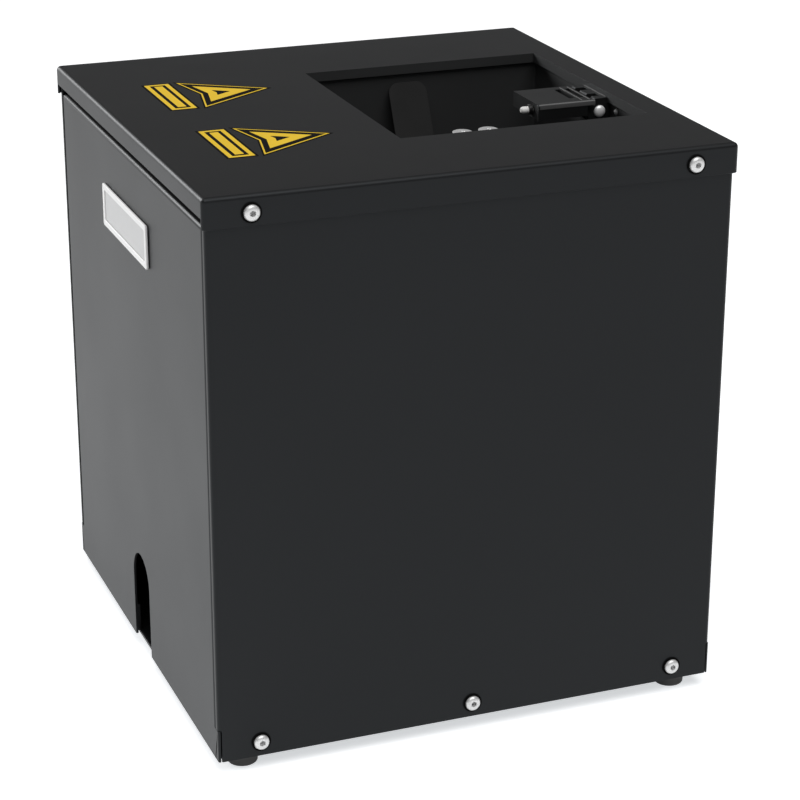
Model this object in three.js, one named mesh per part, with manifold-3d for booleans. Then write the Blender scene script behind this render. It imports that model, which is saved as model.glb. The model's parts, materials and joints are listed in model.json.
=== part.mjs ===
// A stage flame machine: a sheet metal box with a flame outlet in its lid, a burner well under it,
// the gas line from the hose coupler to the nozzles, and a recessed connector tray at the back.
// Millimetres, +Z up. The origin is on the floor under the middle of the box, and the front is at -Y.
import * as THREE from 'three';
import { mergeVertices } from 'three/addons/utils/BufferGeometryUtils.js';
import Module from 'manifold-3d';

const wasm = await Module();
wasm.setup();

// Case
const caseWidth = 270;
const caseDepth = 270;
const bodyHeight = 286;
const footHeight = 8;
const sheet = 1.2;
const gap = 0.3;
const overrun = 1;
const bendRadius = 2.4;
const returnDepth = 4;
const trayWall = 17;
const trayLip = 1.5;
const cornerNotch = 1.8;
const frontFlange = 15;
const sideFlange = 10;
const shadowGap = 4.5;
const stiffener = 9;

// Feet
const footRadius = 8;
const footBaseRadius = 7.6;
const footEdge = 0.8;
const footSideInset = 16;
const footFrontInset = 13.2;

// Flame outlet and burner well
const outletWidthShare = 0.4926;
const outletDepth = 140;
const outletMargin = 17;
const outletRim = 5;
const wellMargin = 2;
const wellHeight = 88;
const wellFlange = 5;
const drainRadius = 4;
const drainInset = 16;

// Burner, nozzle caps and air guide
const burnerRadius = 24;
const burnerNeck = 13;
const burnerBaseHeight = 30;
const burnerShoulder = 8;
const burnerDrop = 31;
const burnerOffsetX = 1;
const burnerOffsetY = -3.6;
const nozzleRadius = 5.3;
const nozzleBore = 1.6;
const nozzleDepth = 9;
const nozzleHeight = 11.7;
const nozzleSpacing = 14.6;
const nozzleEdge = 1;
const guideWidth = 22;
const guideOffset = -9;
const guideTopDrop = 10;
const guideCorner = 6;
const guideClearance = 10;
const guideFoot = 14;

// Hinged electrode carrier
const pinInset = 4.5;
const pinDrop = 9.5;
const pinRadius = 1.8;
const pinPlay = 0.3;
const pinHeadRadius = 3.2;
const pinHeadHeight = 1.6;
const cheekRadius = 7;
const cheekWidth = 5;
const armWidth = 4.8;
const carrierWidth = 29;
const carrierOffset = -9.5;
const carrierReach = 36;
const carrierBelow = 1;
const carrierWall = 1.5;
const carrierLip = 3;
const carrierTongue = 2.1;
const carrierSlotWidth = 3;
const carrierSlotLength = 19;
const carrierSlotInset = 6;
const swingPlay = 0.6;
const wallPlay = 1.1;
const leafLip = 2.6;
const leafNotch = 2.4;
const hingePlateDrop = 9;
const ceramicRadius = 2.3;
const ceramicLength = 17;
const ceramicProud = 6;
const ceramicInset = 6;
const ceramicDrop = 4.2;

// Screws
const screwHeadRadius = 3.9;
const screwHeadHeight = 2.2;
const sideHeadHeight = 1.2;
const crownShare = 0.62;
const shankRadius = 2;
const shankLength = 8;
const screwPlay = 0.4;
const socketRadius = 1.5;
const socketDepth = 1.1;
const screwInset = 23.2;
const lidScrewDrop = 8.5;
const coverScrewRise = 7.7;
const sideScrewInset = 8;
const sideScrewRise = 9.7;

// Hose slot and address plate in the left panel
const slotWidth = 30;
const slotHeight = 53;
const slotCentre = 1.5;
const addressLength = 81.5;
const addressHeight = 22.5;
const addressCentre = 3.3;
const addressDrop = 52;
const addressRim = 3.2;
const addressDepth = 1.2;
const cardDepth = 0.6;

// Bulkhead and well stand
const bulkheadFoot = 12;
const standSheet = 2;
const standInset = 6;
const standHalfDepth = 50;
const standFoot = 9;
const pipePassage = 9;
const notchHeight = 30;

// Gas line
const gasRise = 30;
const couplerInset = 15;
const couplerLength = 26;
const couplerBodyRadius = 7;
const couplerBore = 4.5;
const couplerBoreDepth = 12;
const couplerHexRadius = 9;
const couplerHexLength = 8;
const sleeveRadius = 10;
const sleeveLength = 12;
const sleevePlay = 0.3;
const sleeveGroove = 0.9;
const valveLength = 26;
const valveWidth = 22;
const valveHeight = 22;
const valveFootLength = 16;
const valveFootWidth = 34;
const valveFootHeight = 3;
const stemRadius = 3;
const stemHeight = 9;
const stemPlay = 0.25;
const leverLength = 34;
const leverWidth = 9;
const leverThickness = 2;
const leverHubHeight = 5;
const leverHubRadius = 5.5;
const pipeRadius = 4;
const pipeNutRadius = 7;
const pipeNutLength = 8;
const tankRadius = 40;
const tankLength = 124;
const tankEdge = 12;
const tankClearance = 6;
const saddleWidth = 44;
const saddleLength = 10;
const saddleInset = 24;
const tankNeckRadius = 11;
const tankNeckHeight = 5;
const valveBlockSize = 38;
const valveBlockHeight = 30;
const coilWidth = 26;
const coilLength = 30;
const coilHeight = 22;
const coilCorner = 3;
const riserRadius = 7;
const riserNutRadius = 11;
const riserNutHeight = 9;

// Electrical side
const supplyDepth = 42;
const supplyLength = 92;
const supplyClearance = 16;
const supplyRise = 142;
const supplyFlange = 6;
const boardLength = 96;
const boardClearance = 24;
const boardThickness = 1.6;
const boardStandoff = 6;
const standoffRadius = 3;
const boardMargin = 6;
const boardRise = 112;
const transformerLength = 62;
const transformerWidth = 44;
const transformerHeight = 48;
const transformerInset = 34;
const transformerRise = 3;
const leadRadius = 3.4;
const leadLength = 6;

// Connector tray at the back
const trayInset = 32;
const trayHeight = 88;
const trayRise = 32;
const trayDepth = 29;
const trayFlange = 6;
const flangePlay = 0.3;
const inletWidth = 30;
const inletHeight = 50;
const inletFlange = 2;
const inletBodyDepth = 24;
const inletBodyMargin = 2;
const inletShare = -0.37;
const plugWidth = 24;
const plugHeight = 16;
const plugDepth = 14;
const plugDrop = 10;
const plugPinWidth = 2;
const plugPinHeight = 4;
const plugPinLength = 9;
const plugPinSpacing = 7;
const rockerWidth = 14;
const rockerHeight = 17;
const rockerRise = 13;
const rockerDepth = 5;
const rockerPivot = 2.5;
const rockerProud = 3;
const rockerDip = 1.6;
const rockerPlay = 0.7;
const rockerTilt = 8;
const rockerRootShare = 0.5;
const dataFlangeWidth = 26;
const dataFlangeHeight = 31;
const dataFlangeDepth = 2;
const dataBodyRadius = 11;
const dataBodyDepth = 20;
const dataCavityRadius = 8.6;
const dataCavityDepth = 12;
const dataPinRadius = 1.3;
const dataPinCircle = 4.6;
const dataPinLength = 8;
const dataHoleRadius = 1.5;
const dataInShare = -0.18;
const dataOutShare = -0.01;
const displayWidthShare = 0.2524;
const displayHeight = 20;
const displayDepth = 2.4;
const displayEdge = 1.5;
const displayRecess = 0.6;
const displayShare = 0.22;
const displayRise = 14;
const buttonRadius = 4;
const buttonProud = 2.6;
const buttonEdge = 0.6;
const buttonFlangeRadius = 5.4;
const buttonFlange = 1;
const buttonStem = 5;
const buttonSpacingShare = 0.27;
const buttonDrop = 14;
const keyShare = 0.42;
const keyFlangeRadius = 11;
const keyFlange = 2.5;
const keyBodyRadius = 9;
const keyBodyDepth = 22;
const keyCoreRadius = 5.5;
const keyCoreDepth = 14;
const keyPlay = 0.3;
const keyBladeWidth = 6.5;
const keyBladeThickness = 2;
const keyNeck = 4;
const keyBowRadius = 8.5;
const keyBowHole = 2.4;
const keyInsert = 9;

// Vents in the rear panel
const ventColumns = 2;
const ventRows = 6;
const ventLength = 44;
const ventWidth = 3;
const ventPitch = 9;
const ventSpacing = 92;
const ventDrop = 44;

// Fineness of round faces
const fine = 24;
const medium = 16;
const coarse = 8;
const hexagon = 6;
const bendSteps = 3;

// Levels and faces that several pieces share
const lidTop = footHeight + bodyHeight;
const bodyX = caseWidth / 2 - sheet - gap;
const bodyY = caseDepth / 2 - sheet - gap;
const trayX = bodyX - sheet - gap;
const trayY = bodyY - sheet - gap;
const trayTop = footHeight + trayWall;
const floorTop = footHeight + sheet;
const lidUnder = lidTop - sheet;
const panelTop = lidTop - sideFlange - shadowGap;
const outletWidth = caseWidth * outletWidthShare;
const outletRight = caseWidth / 2 - outletMargin;
const outletLeft = outletRight - outletWidth;
const outletX = (outletLeft + outletRight) / 2;
const wellTop = lidTop - outletRim - gap;
const wellUnder = wellTop - wellHeight;
const wellFloor = wellUnder + sheet;
const wellLeft = outletLeft - wellMargin - sheet;
const wellRight = outletRight + wellMargin + sheet;
const wellHalf = outletDepth / 2 + wellMargin + sheet;
const bulkheadRight = wellLeft - gap;
const bulkheadLeft = bulkheadRight - sheet;
const screwSpan = caseWidth - screwInset * 2;
const trayWidth = caseWidth - trayInset * 2;
const trayFace = bodyY - trayDepth;
const trayBack = trayFace - sheet;
const burnerX = outletX + burnerOffsetX;
const displayWidth = trayWidth * displayWidthShare;
const buttonSpacing = displayWidth * buttonSpacingShare;
const supplyHeight = bodyHeight - supplyRise - supplyClearance;
const boardHeight = bodyHeight - boardRise - boardClearance;
const gasZ = footHeight + gasRise;
const tankZ = floorTop + tankClearance + tankRadius;

// Finishes
const finish = (color, roughness, metalness) => new THREE.MeshStandardMaterial({ color, roughness, metalness });
const blackPaint = finish(0x2b2b2d, 0.5, 0.2);
const darkSteel = finish(0x3a3a3c, 0.45, 0.8);
const zinc = finish(0x9b9da0, 0.4, 0.9);
const brightSteel = finish(0xd8d8d8, 0.25, 1);
const brass = finish(0xb08d4a, 0.35, 1);
const rubber = finish(0x151515, 0.9, 0);
const ceramic = finish(0xf2f0ea, 0.35, 0);
const blackPlastic = finish(0x1b1b1c, 0.45, 0);
const whitePlastic = finish(0xf0f1f1, 0.5, 0);
const greyCard = finish(0xd8dadc, 0.7, 0);
const greenBoard = finish(0x1f5a38, 0.5, 0);
const displayGlass = finish(0x20262b, 0.1, 0);
const redPlastic = finish(0xb3231c, 0.4, 0);

// A closed geometry that faces out, with shared corners and no empty faces
function clean(geometry) {
  const bare = geometry.clone();
  bare.deleteAttribute('normal');
  bare.deleteAttribute('uv');
  const merged = mergeVertices(bare);
  const corner = merged.attributes.position;
  const kept = [];
  let volume = 0;
  for (let i = 0; i < merged.index.count; i += 3) {
    const face = [merged.index.getX(i), merged.index.getX(i + 1), merged.index.getX(i + 2)];
    if (new Set(face).size === 3) kept.push(...face);
    const [a, b, c] = face.map((n) => new THREE.Vector3().fromBufferAttribute(corner, n));
    volume += a.dot(b.cross(c));
  }
  merged.setIndex(volume < 0 ? kept.reverse() : kept);
  return merged;
}

function solidOf(geometry) {
  const closed = clean(geometry);
  const vertProperties = new Float32Array(closed.attributes.position.array);
  const triVerts = new Uint32Array(closed.index.array);
  return new wasm.Manifold(new wasm.Mesh({ numProp: 3, vertProperties, triVerts }));
}

function geometryOf(solid) {
  const mesh = solid.getMesh();
  const geometry = new THREE.BufferGeometry();
  geometry.setAttribute('position', new THREE.BufferAttribute(new Float32Array(mesh.vertProperties), 3));
  geometry.setIndex([...mesh.triVerts]);
  return geometry;
}

function join(...pieces) {
  return geometryOf(pieces.map(solidOf).reduce((all, next) => all.add(next)));
}

function cut(body, ...tools) {
  return geometryOf(tools.map(solidOf).reduce((left, tool) => left.subtract(tool), solidOf(body)));
}

// A box from its low to its high corner
function block(x0, x1, y0, y1, z0, z1) {
  const box = new THREE.BoxGeometry(x1 - x0, y1 - y0, z1 - z0);
  return box.translate((x0 + x1) / 2, (y0 + y1) / 2, (z0 + z1) / 2);
}

// An upright cylinder on the Z axis
function post(radius, z0, z1, sides = medium) {
  return new THREE.CylinderGeometry(radius, radius, z1 - z0, sides).rotateX(Math.PI / 2).translate(0, 0, (z0 + z1) / 2);
}

// A turned piece on the Z axis from its [radius, height] points
function turned(points, sides = medium) {
  return new THREE.LatheGeometry(points.map(([r, z]) => new THREE.Vector2(r, z)), sides).rotateX(Math.PI / 2);
}

function upright(outline, z0, z1) {
  const options = { depth: z1 - z0, bevelEnabled: false, curveSegments: bendSteps };
  return new THREE.ExtrudeGeometry(outline, options).translate(0, 0, z0);
}

// An outline of [y, z] points drawn out along X
function lengthwise(outline, x0, x1, steps = bendSteps) {
  const options = { depth: x1 - x0, bevelEnabled: false, curveSegments: steps };
  return new THREE.ExtrudeGeometry(outline, options).rotateX(Math.PI / 2).rotateZ(Math.PI / 2).translate(x0, 0, 0);
}

function roundedOutline(halfX, halfY, radius) {
  const outline = new THREE.Shape();
  outline.moveTo(-halfX + radius, -halfY);
  outline.absarc(halfX - radius, -halfY + radius, radius, -Math.PI / 2, 0);
  outline.absarc(halfX - radius, halfY - radius, radius, 0, Math.PI / 2);
  outline.absarc(-halfX + radius, halfY - radius, radius, Math.PI / 2, Math.PI);
  outline.absarc(-halfX + radius, -halfY + radius, radius, Math.PI, Math.PI * 3 / 2);
  return outline;
}

// Quarter turns that lay a piece made on +Z along another axis
const alongX = (geometry) => geometry.rotateY(Math.PI / 2);
const alongBack = (geometry) => geometry.rotateX(-Math.PI / 2);
const alongFront = (geometry) => geometry.rotateX(Math.PI / 2);

const machine = new THREE.Group();
function add(name, geometry, material, x = 0, y = 0, z = 0) {
  const mesh = new THREE.Mesh(clean(geometry), material);
  mesh.name = name;
  mesh.position.set(x, y, z);
  machine.add(mesh);
  return mesh;
}

// Screw holes through a front or rear sheet, at each [x, z]
function screwHoles(places, y) {
  const radius = shankRadius + screwPlay;
  const reach = sheet + overrun;
  return places.map(([x, z]) => alongFront(post(radius, -reach, reach, coarse)).translate(x, y, z));
}

const lidScrewZ = lidTop - lidScrewDrop;
const coverScrewZ = footHeight + coverScrewRise;
const lidScrewPlaces = [[-screwSpan / 2, lidScrewZ], [screwSpan / 2, lidScrewZ]];
const coverScrewPlaces = [[-screwSpan / 2, coverScrewZ], [0, coverScrewZ], [screwSpan / 2, coverScrewZ]];
const sideScrewY = bodyY - sideScrewInset;
const sideScrewZ = footHeight + sideScrewRise;

function sideScrewHoles(x) {
  const radius = shankRadius + screwPlay;
  const reach = sheet + overrun;
  return [-sideScrewY, sideScrewY].map((y) => alongX(post(radius, -reach, reach, coarse)).translate(x, y, sideScrewZ));
}

// The round-topped slot as a cutter that runs along X through the left side
function slotCutter(x0, x1, z0) {
  const top = footHeight + slotHeight;
  const radius = slotWidth / 2;
  const outline = new THREE.Shape();
  outline.moveTo(-radius, z0);
  outline.lineTo(radius, z0);
  outline.lineTo(radius, top - radius);
  outline.absarc(0, top - radius, radius, 0, Math.PI);
  return lengthwise(outline, x0, x1, coarse).translate(0, slotCentre, 0);
}

// Base tray with a low wall all round, open at the hose slot
function baseTray() {
  const outside = upright(roundedOutline(trayX, trayY, bendRadius), footHeight, trayTop);
  const innerRadius = bendRadius - sheet;
  const inside = upright(roundedOutline(trayX - sheet, trayY - sheet, innerRadius), floorTop, trayTop + overrun);
  const slot = slotCutter(-trayX - overrun, -trayX + sheet + overrun, floorTop + trayLip);
  const front = screwHoles(coverScrewPlaces, -trayY);
  const rear = screwHoles(coverScrewPlaces, trayY);
  add('base_tray', cut(outside, inside, slot, ...front, ...rear, ...sideScrewHoles(trayX)), blackPaint);
}

function feet() {
  const points = [
    [0, 0],
    [footBaseRadius - footEdge, 0],
    [footBaseRadius, footEdge],
    [footRadius, footHeight - gap],
    [0, footHeight - gap],
  ];
  const places = { front_left: [-1, -1], front_right: [1, -1], rear_left: [-1, 1], rear_right: [1, 1] };
  for (const [place, [sideX, sideY]] of Object.entries(places)) {
    const x = sideX * (bodyX - footSideInset);
    const y = sideY * (bodyY - footFrontInset);
    add('foot_' + place, turned(points), rubber, x, y);
  }
}

// A cover that faces -Y, bent back round both upright edges, notched over the tray's corners
function cover() {
  const back = -bodyY + returnDepth;
  const inner = bendRadius - sheet;
  const outline = new THREE.Shape();
  outline.moveTo(-bodyX, back);
  outline.absarc(-bodyX + bendRadius, -bodyY + bendRadius, bendRadius, Math.PI, Math.PI * 3 / 2);
  outline.absarc(bodyX - bendRadius, -bodyY + bendRadius, bendRadius, -Math.PI / 2, 0);
  outline.lineTo(bodyX, back);
  outline.lineTo(bodyX - sheet, back);
  outline.absarc(bodyX - bendRadius, -bodyY + bendRadius, inner, 0, -Math.PI / 2, true);
  outline.absarc(-bodyX + bendRadius, -bodyY + bendRadius, inner, -Math.PI / 2, -Math.PI, true);
  outline.lineTo(-bodyX + sheet, back);
  const shell = upright(outline, footHeight, lidUnder - gap);
  const notches = [-1, 1].map((side) => {
    const width = cornerNotch + overrun;
    const centre = side * (bodyX + (overrun - cornerNotch) / 2);
    const low = footHeight - overrun;
    return block(centre - width / 2, centre + width / 2, -bodyY - overrun, back + overrun, low, trayTop);
  });
  return cut(shell, ...notches, ...screwHoles([...lidScrewPlaces, ...coverScrewPlaces], -bodyY));
}

function frontCover() {
  add('front_cover', cover(), blackPaint);
}

// Rear panel: the same cover turned round, with the connector window and two columns of vents
function rearPanel() {
  const turnedCover = cover().rotateZ(Math.PI);
  const low = footHeight + trayRise;
  const y0 = bodyY - sheet - overrun;
  const y1 = bodyY + overrun;
  const window = block(-trayWidth / 2, trayWidth / 2, y0, y1, low, low + trayHeight);
  const vents = [];
  for (let column = 0; column < ventColumns; column += 1) {
    for (let row = 0; row < ventRows; row += 1) {
      const x = (column - (ventColumns - 1) / 2) * ventSpacing;
      const z = lidTop - ventDrop - row * ventPitch;
      vents.push(block(x - ventLength / 2, x + ventLength / 2, y0, y1, z - ventWidth / 2, z + ventWidth / 2));
    }
  }
  add('rear_panel', cut(turnedCover, window, ...vents), blackPaint);
}

// A side panel at -X: a sheet with its upright edges and its top turned in
function sidePanel() {
  const half = bodyY - returnDepth - gap;
  const inward = -bodyX + stiffener;
  const lowest = trayTop + gap;
  const skin = block(-bodyX, -bodyX + sheet, -half, half, footHeight, panelTop);
  const front = block(-bodyX, inward, -half, -half + sheet, lowest, panelTop);
  const rear = block(-bodyX, inward, half - sheet, half, lowest, panelTop);
  const top = block(-bodyX, inward, -half, half, panelTop - sheet, panelTop);
  return join(skin, front, rear, top);
}

function sidePanels() {
  const slot = slotCutter(-bodyX - overrun, -bodyX + sheet + overrun, footHeight - overrun);
  add('left_panel', cut(sidePanel(), slot), blackPaint);
  add('right_panel', cut(sidePanel().rotateZ(Math.PI), ...sideScrewHoles(bodyX)), blackPaint);
}

// Lid: a top sheet with its four edges turned down, and a turned-down rim round the outlet
function topLid() {
  const halfX = caseWidth / 2;
  const halfY = caseDepth / 2;
  const low = lidTop - frontFlange;
  const outside = upright(roundedOutline(halfX, halfY, bendRadius), low, lidTop);
  const innerRadius = bendRadius - sheet;
  const inside = upright(roundedOutline(halfX - sheet, halfY - sheet, innerRadius), low - overrun, lidUnder);
  const sideCut = halfY - sheet;
  const sides = block(-halfX - overrun, halfX + overrun, -sideCut, sideCut, low - overrun, lidTop - sideFlange);
  const half = outletDepth / 2;
  const rimLow = lidTop - outletRim;
  const rim = block(outletLeft - sheet, outletRight + sheet, -half - sheet, half + sheet, rimLow, lidTop);
  const outlet = block(outletLeft, outletRight, -half, half, rimLow - overrun, lidTop + overrun);
  const front = screwHoles(lidScrewPlaces, -halfY + sheet / 2);
  const rear = screwHoles(lidScrewPlaces, halfY - sheet / 2);
  add('top_lid', cut(join(cut(outside, inside, sides), rim), outlet, ...front, ...rear), blackPaint);
}

// A round-headed screw that points along -Z under its head
function screw(headHeight) {
  const crown = screwHeadRadius * crownShare;
  const head = turned([
    [0, -shankLength],
    [shankRadius, -shankLength],
    [shankRadius, 0],
    [screwHeadRadius, 0],
    [screwHeadRadius, headHeight / 2],
    [crown, headHeight],
    [0, headHeight],
  ]);
  return cut(head, post(socketRadius, headHeight - socketDepth, headHeight + overrun, hexagon));
}

function screws() {
  const faces = { front: [-1, alongFront], rear: [1, alongBack] };
  for (const [face, [side, lay]] of Object.entries(faces)) {
    const lidNames = ['left', 'right'];
    lidScrewPlaces.forEach(([x, z], i) => {
      const y = side * (caseDepth / 2 + gap);
      add(`lid_screw_${face}_${lidNames[i]}`, lay(screw(screwHeadHeight)), brightSteel, x, y, z);
    });
    const coverNames = ['left', 'middle', 'right'];
    coverScrewPlaces.forEach(([x, z], i) => {
      const y = side * (bodyY + gap);
      add(`${face}_screw_${coverNames[i]}`, lay(screw(screwHeadHeight)), brightSteel, x, y, z);
    });
  }
  for (const [place, side] of [['front', -1], ['rear', 1]]) {
    add('right_screw_' + place, alongX(screw(sideHeadHeight)), darkSteel, bodyX + gap, side * sideScrewY, sideScrewZ);
  }
}

// Address plate on the left panel: a frame round a card
function addressPlate() {
  const z = lidTop - addressDrop;
  const outer = -bodyX - gap;
  const halfY = addressLength / 2;
  const halfZ = addressHeight / 2;
  const frame = block(outer - addressDepth, outer, -halfY, halfY, -halfZ, halfZ);
  const holeY = halfY - addressRim;
  const holeZ = halfZ - addressRim;
  const hole = block(outer - addressDepth - overrun, outer + overrun, -holeY, holeY, -holeZ, holeZ);
  add('address_frame', cut(frame, hole), whitePlastic, 0, addressCentre, z);
  const cardY = holeY - gap;
  const cardZ = holeZ - gap;
  add('address_card', block(outer - cardDepth, outer, -cardY, cardY, -cardZ, cardZ), greyCard, 0, addressCentre, z);
}

// Open-topped well under the outlet, with a flange under the lid and holes in its floor
function burnerWell() {
  const outside = block(wellLeft, wellRight, -wellHalf, wellHalf, wellUnder, wellTop);
  const flangeX = [wellLeft - wellFlange, wellRight + wellFlange];
  const flangeY = wellHalf + wellFlange;
  const flange = block(...flangeX, -flangeY, flangeY, wellTop - sheet, wellTop);
  const inner = wellHalf - sheet;
  const inside = block(wellLeft + sheet, wellRight - sheet, -inner, inner, wellFloor, wellTop + overrun);
  const riser = post(riserRadius + gap, wellUnder - overrun, wellFloor + overrun).translate(burnerX, burnerOffsetY, 0);
  const drainX = [wellLeft + drainInset, wellRight - drainInset];
  const drains = drainX.map((x) => post(drainRadius, wellUnder - overrun, wellFloor + overrun).translate(x, 0, 0));
  add('burner_well', cut(join(outside, flange), inside, riser, ...drains), darkSteel);
}

// Sheet wall between the electrical side and the burner side, with a foot on the tray and a notch behind
// for the data sockets
function bulkhead() {
  const y0 = -trayY + sheet + stiffener;
  const y1 = trayBack - gap;
  const top = wellTop - sheet - gap;
  const bottom = floorTop + gap;
  const wall = block(bulkheadLeft, bulkheadRight, y0, y1, bottom, top);
  const foot = block(bulkheadLeft - bulkheadFoot, bulkheadRight, y0, y1, bottom, bottom + sheet);
  const reach = sheet + overrun;
  const hole = alongX(post(pipePassage, -reach, reach)).translate(bulkheadRight, slotCentre, gasZ);
  const notchLow = trayMiddle - notchHeight / 2;
  const notchX = [bulkheadLeft - overrun, bulkheadRight + overrun];
  const notch = block(...notchX, y1 - dataBodyDepth, y1 + overrun, notchLow, notchLow + notchHeight);
  add('bulkhead', cut(join(wall, foot), hole, notch), zinc);
}

// Stand that carries the well over the tank: a bridge with two legs and turned-out feet
function wellStand() {
  const x0 = wellLeft + standInset;
  const x1 = wellRight - standInset;
  const top = wellUnder - gap;
  const bottom = floorTop + gap;
  const half = standHalfDepth;
  const bridge = block(x0, x1, -half, half, top - standSheet, top);
  const leftLeg = block(x0, x0 + standSheet, -half, half, bottom, top);
  const rightLeg = block(x1 - standSheet, x1, -half, half, bottom, top);
  const leftFoot = block(x0, x0 + standFoot, -half, half, bottom, bottom + standSheet);
  const rightFoot = block(x1 - standFoot, x1, -half, half, bottom, bottom + standSheet);
  const reach = standSheet + overrun;
  const pipeHole = alongX(post(pipePassage, -reach, reach)).translate(x0, slotCentre, gasZ);
  const riserHole = post(riserNutRadius + gap, top - standSheet - overrun, top + overrun);
  const body = join(bridge, leftLeg, rightLeg, leftFoot, rightFoot);
  add('well_stand', cut(body, pipeHole, riserHole.translate(burnerX, burnerOffsetY, 0)), zinc);
}

const burnerTop = lidTop - burnerDrop;

function burner() {
  const bottom = wellFloor + gap;
  const shoulder = bottom + burnerBaseHeight;
  const body = turned([
    [0, bottom],
    [burnerRadius, bottom],
    [burnerRadius, shoulder],
    [burnerNeck + nozzleRadius, shoulder + burnerShoulder],
    [burnerNeck + nozzleRadius, burnerTop],
    [0, burnerTop],
  ], fine);
  add('burner_block', body, darkSteel, burnerX, burnerOffsetY);
  const capTop = nozzleHeight;
  const cap = turned([
    [0, 0],
    [nozzleRadius, 0],
    [nozzleRadius, capTop - nozzleEdge],
    [nozzleRadius - nozzleEdge, capTop],
    [nozzleBore, capTop],
    [nozzleBore, capTop - nozzleDepth],
    [0, capTop - nozzleDepth],
  ]);
  for (const [name, side] of [['left', -1], ['right', 1]]) {
    const x = burnerX + side * nozzleSpacing / 2;
    add('nozzle_cap_' + name, cap.clone(), brightSteel, x, burnerOffsetY, burnerTop + gap);
  }
}

// Leaning tongue of sheet behind the burner, with a foot on the well's floor
function airGuide() {
  const bottom = wellFloor + gap;
  const rise = lidTop - guideTopDrop - bottom;
  const topY = wellHalf - sheet - gap - sheet;
  const footY = burnerOffsetY + burnerRadius + guideClearance;
  const lean = Math.atan2(topY - footY, rise);
  const length = rise / Math.cos(lean);
  const half = guideWidth / 2;
  const outline = new THREE.Shape();
  outline.moveTo(-half, 0);
  outline.lineTo(half, 0);
  outline.absarc(half - guideCorner, length - guideCorner, guideCorner, 0, Math.PI / 2);
  outline.absarc(-half + guideCorner, length - guideCorner, guideCorner, Math.PI / 2, Math.PI);
  const options = { depth: sheet, bevelEnabled: false, curveSegments: bendSteps };
  const tongue = new THREE.ExtrudeGeometry(outline, options);
  tongue.rotateX(Math.PI / 2 - lean);
  tongue.translate(0, footY, bottom);
  const foot = block(-half, half, footY - sheet, footY + guideFoot, bottom, bottom + sheet);
  const level = block(-guideWidth, guideWidth, footY - guideFoot, footY + guideFoot, bottom - sheet, bottom);
  add('air_guide', cut(join(tongue, foot), level), darkSteel, outletX + guideOffset);
}

const pinX = outletRight - pinInset;
const pinZ = lidTop - pinDrop;
const hingeFront = carrierOffset - carrierWidth / 2;
const hingeRear = carrierOffset + carrierWidth / 2;
const armOffset = carrierWidth / 2 - cheekWidth - gap - armWidth / 2;
const armCentres = [-1, 1].map((side) => carrierOffset + side * armOffset);

// Hinge bracket: three round cheeks on a plate at the well's right wall
function hingeBracket() {
  const reach = outletRight - gap;
  const cheeks = alongBack(post(cheekRadius, hingeFront, hingeRear, fine)).translate(pinX, 0, pinZ);
  const low = pinZ - hingePlateDrop;
  const upper = block(pinX - leafLip, reach, hingeFront, hingeRear, low, pinZ + cheekRadius);
  const wallX = wellRight - sheet - gap;
  const lower = block(pinX, wallX, hingeFront, hingeRear, low, wellTop - gap);
  const bar = join(cheeks, upper, lower);
  const trim = block(reach, wallX + overrun, hingeFront - overrun, hingeRear + overrun, wellTop - gap, lidTop);
  const boreShape = post(pinRadius + pinPlay, hingeFront - overrun, hingeRear + overrun, fine);
  const bore = alongBack(boreShape).translate(pinX, 0, pinZ);
  const slots = armCentres.flatMap((y) => {
    const half = armWidth / 2 + gap;
    const x0 = pinX - cheekRadius - overrun;
    const round = pinRadius + pinPlay + carrierWall + swingPlay;
    return [
      block(x0, pinX + round, y - half, y + half, low - overrun, pinZ + round),
      block(x0, pinX + leafNotch, y - half, y + half, low - overrun, lidTop),
    ];
  });
  const past = block(wallX, wallX + cheekRadius, hingeFront - overrun, hingeRear + overrun, low - overrun, lidTop);
  add('hinge_bracket', cut(bar, trim, past, bore, ...slots), darkSteel);
}

function hingePin() {
  const head = hingeFront - gap;
  const pin = turned([
    [0, head - pinHeadHeight],
    [pinHeadRadius - gap, head - pinHeadHeight],
    [pinHeadRadius, head - pinHeadHeight / 2],
    [pinHeadRadius, head],
    [pinRadius, head],
    [pinRadius, hingeRear],
    [0, hingeRear],
  ]);
  add('hinge_pin', alongBack(pin), brightSteel, pinX, 0, pinZ);
}

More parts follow.
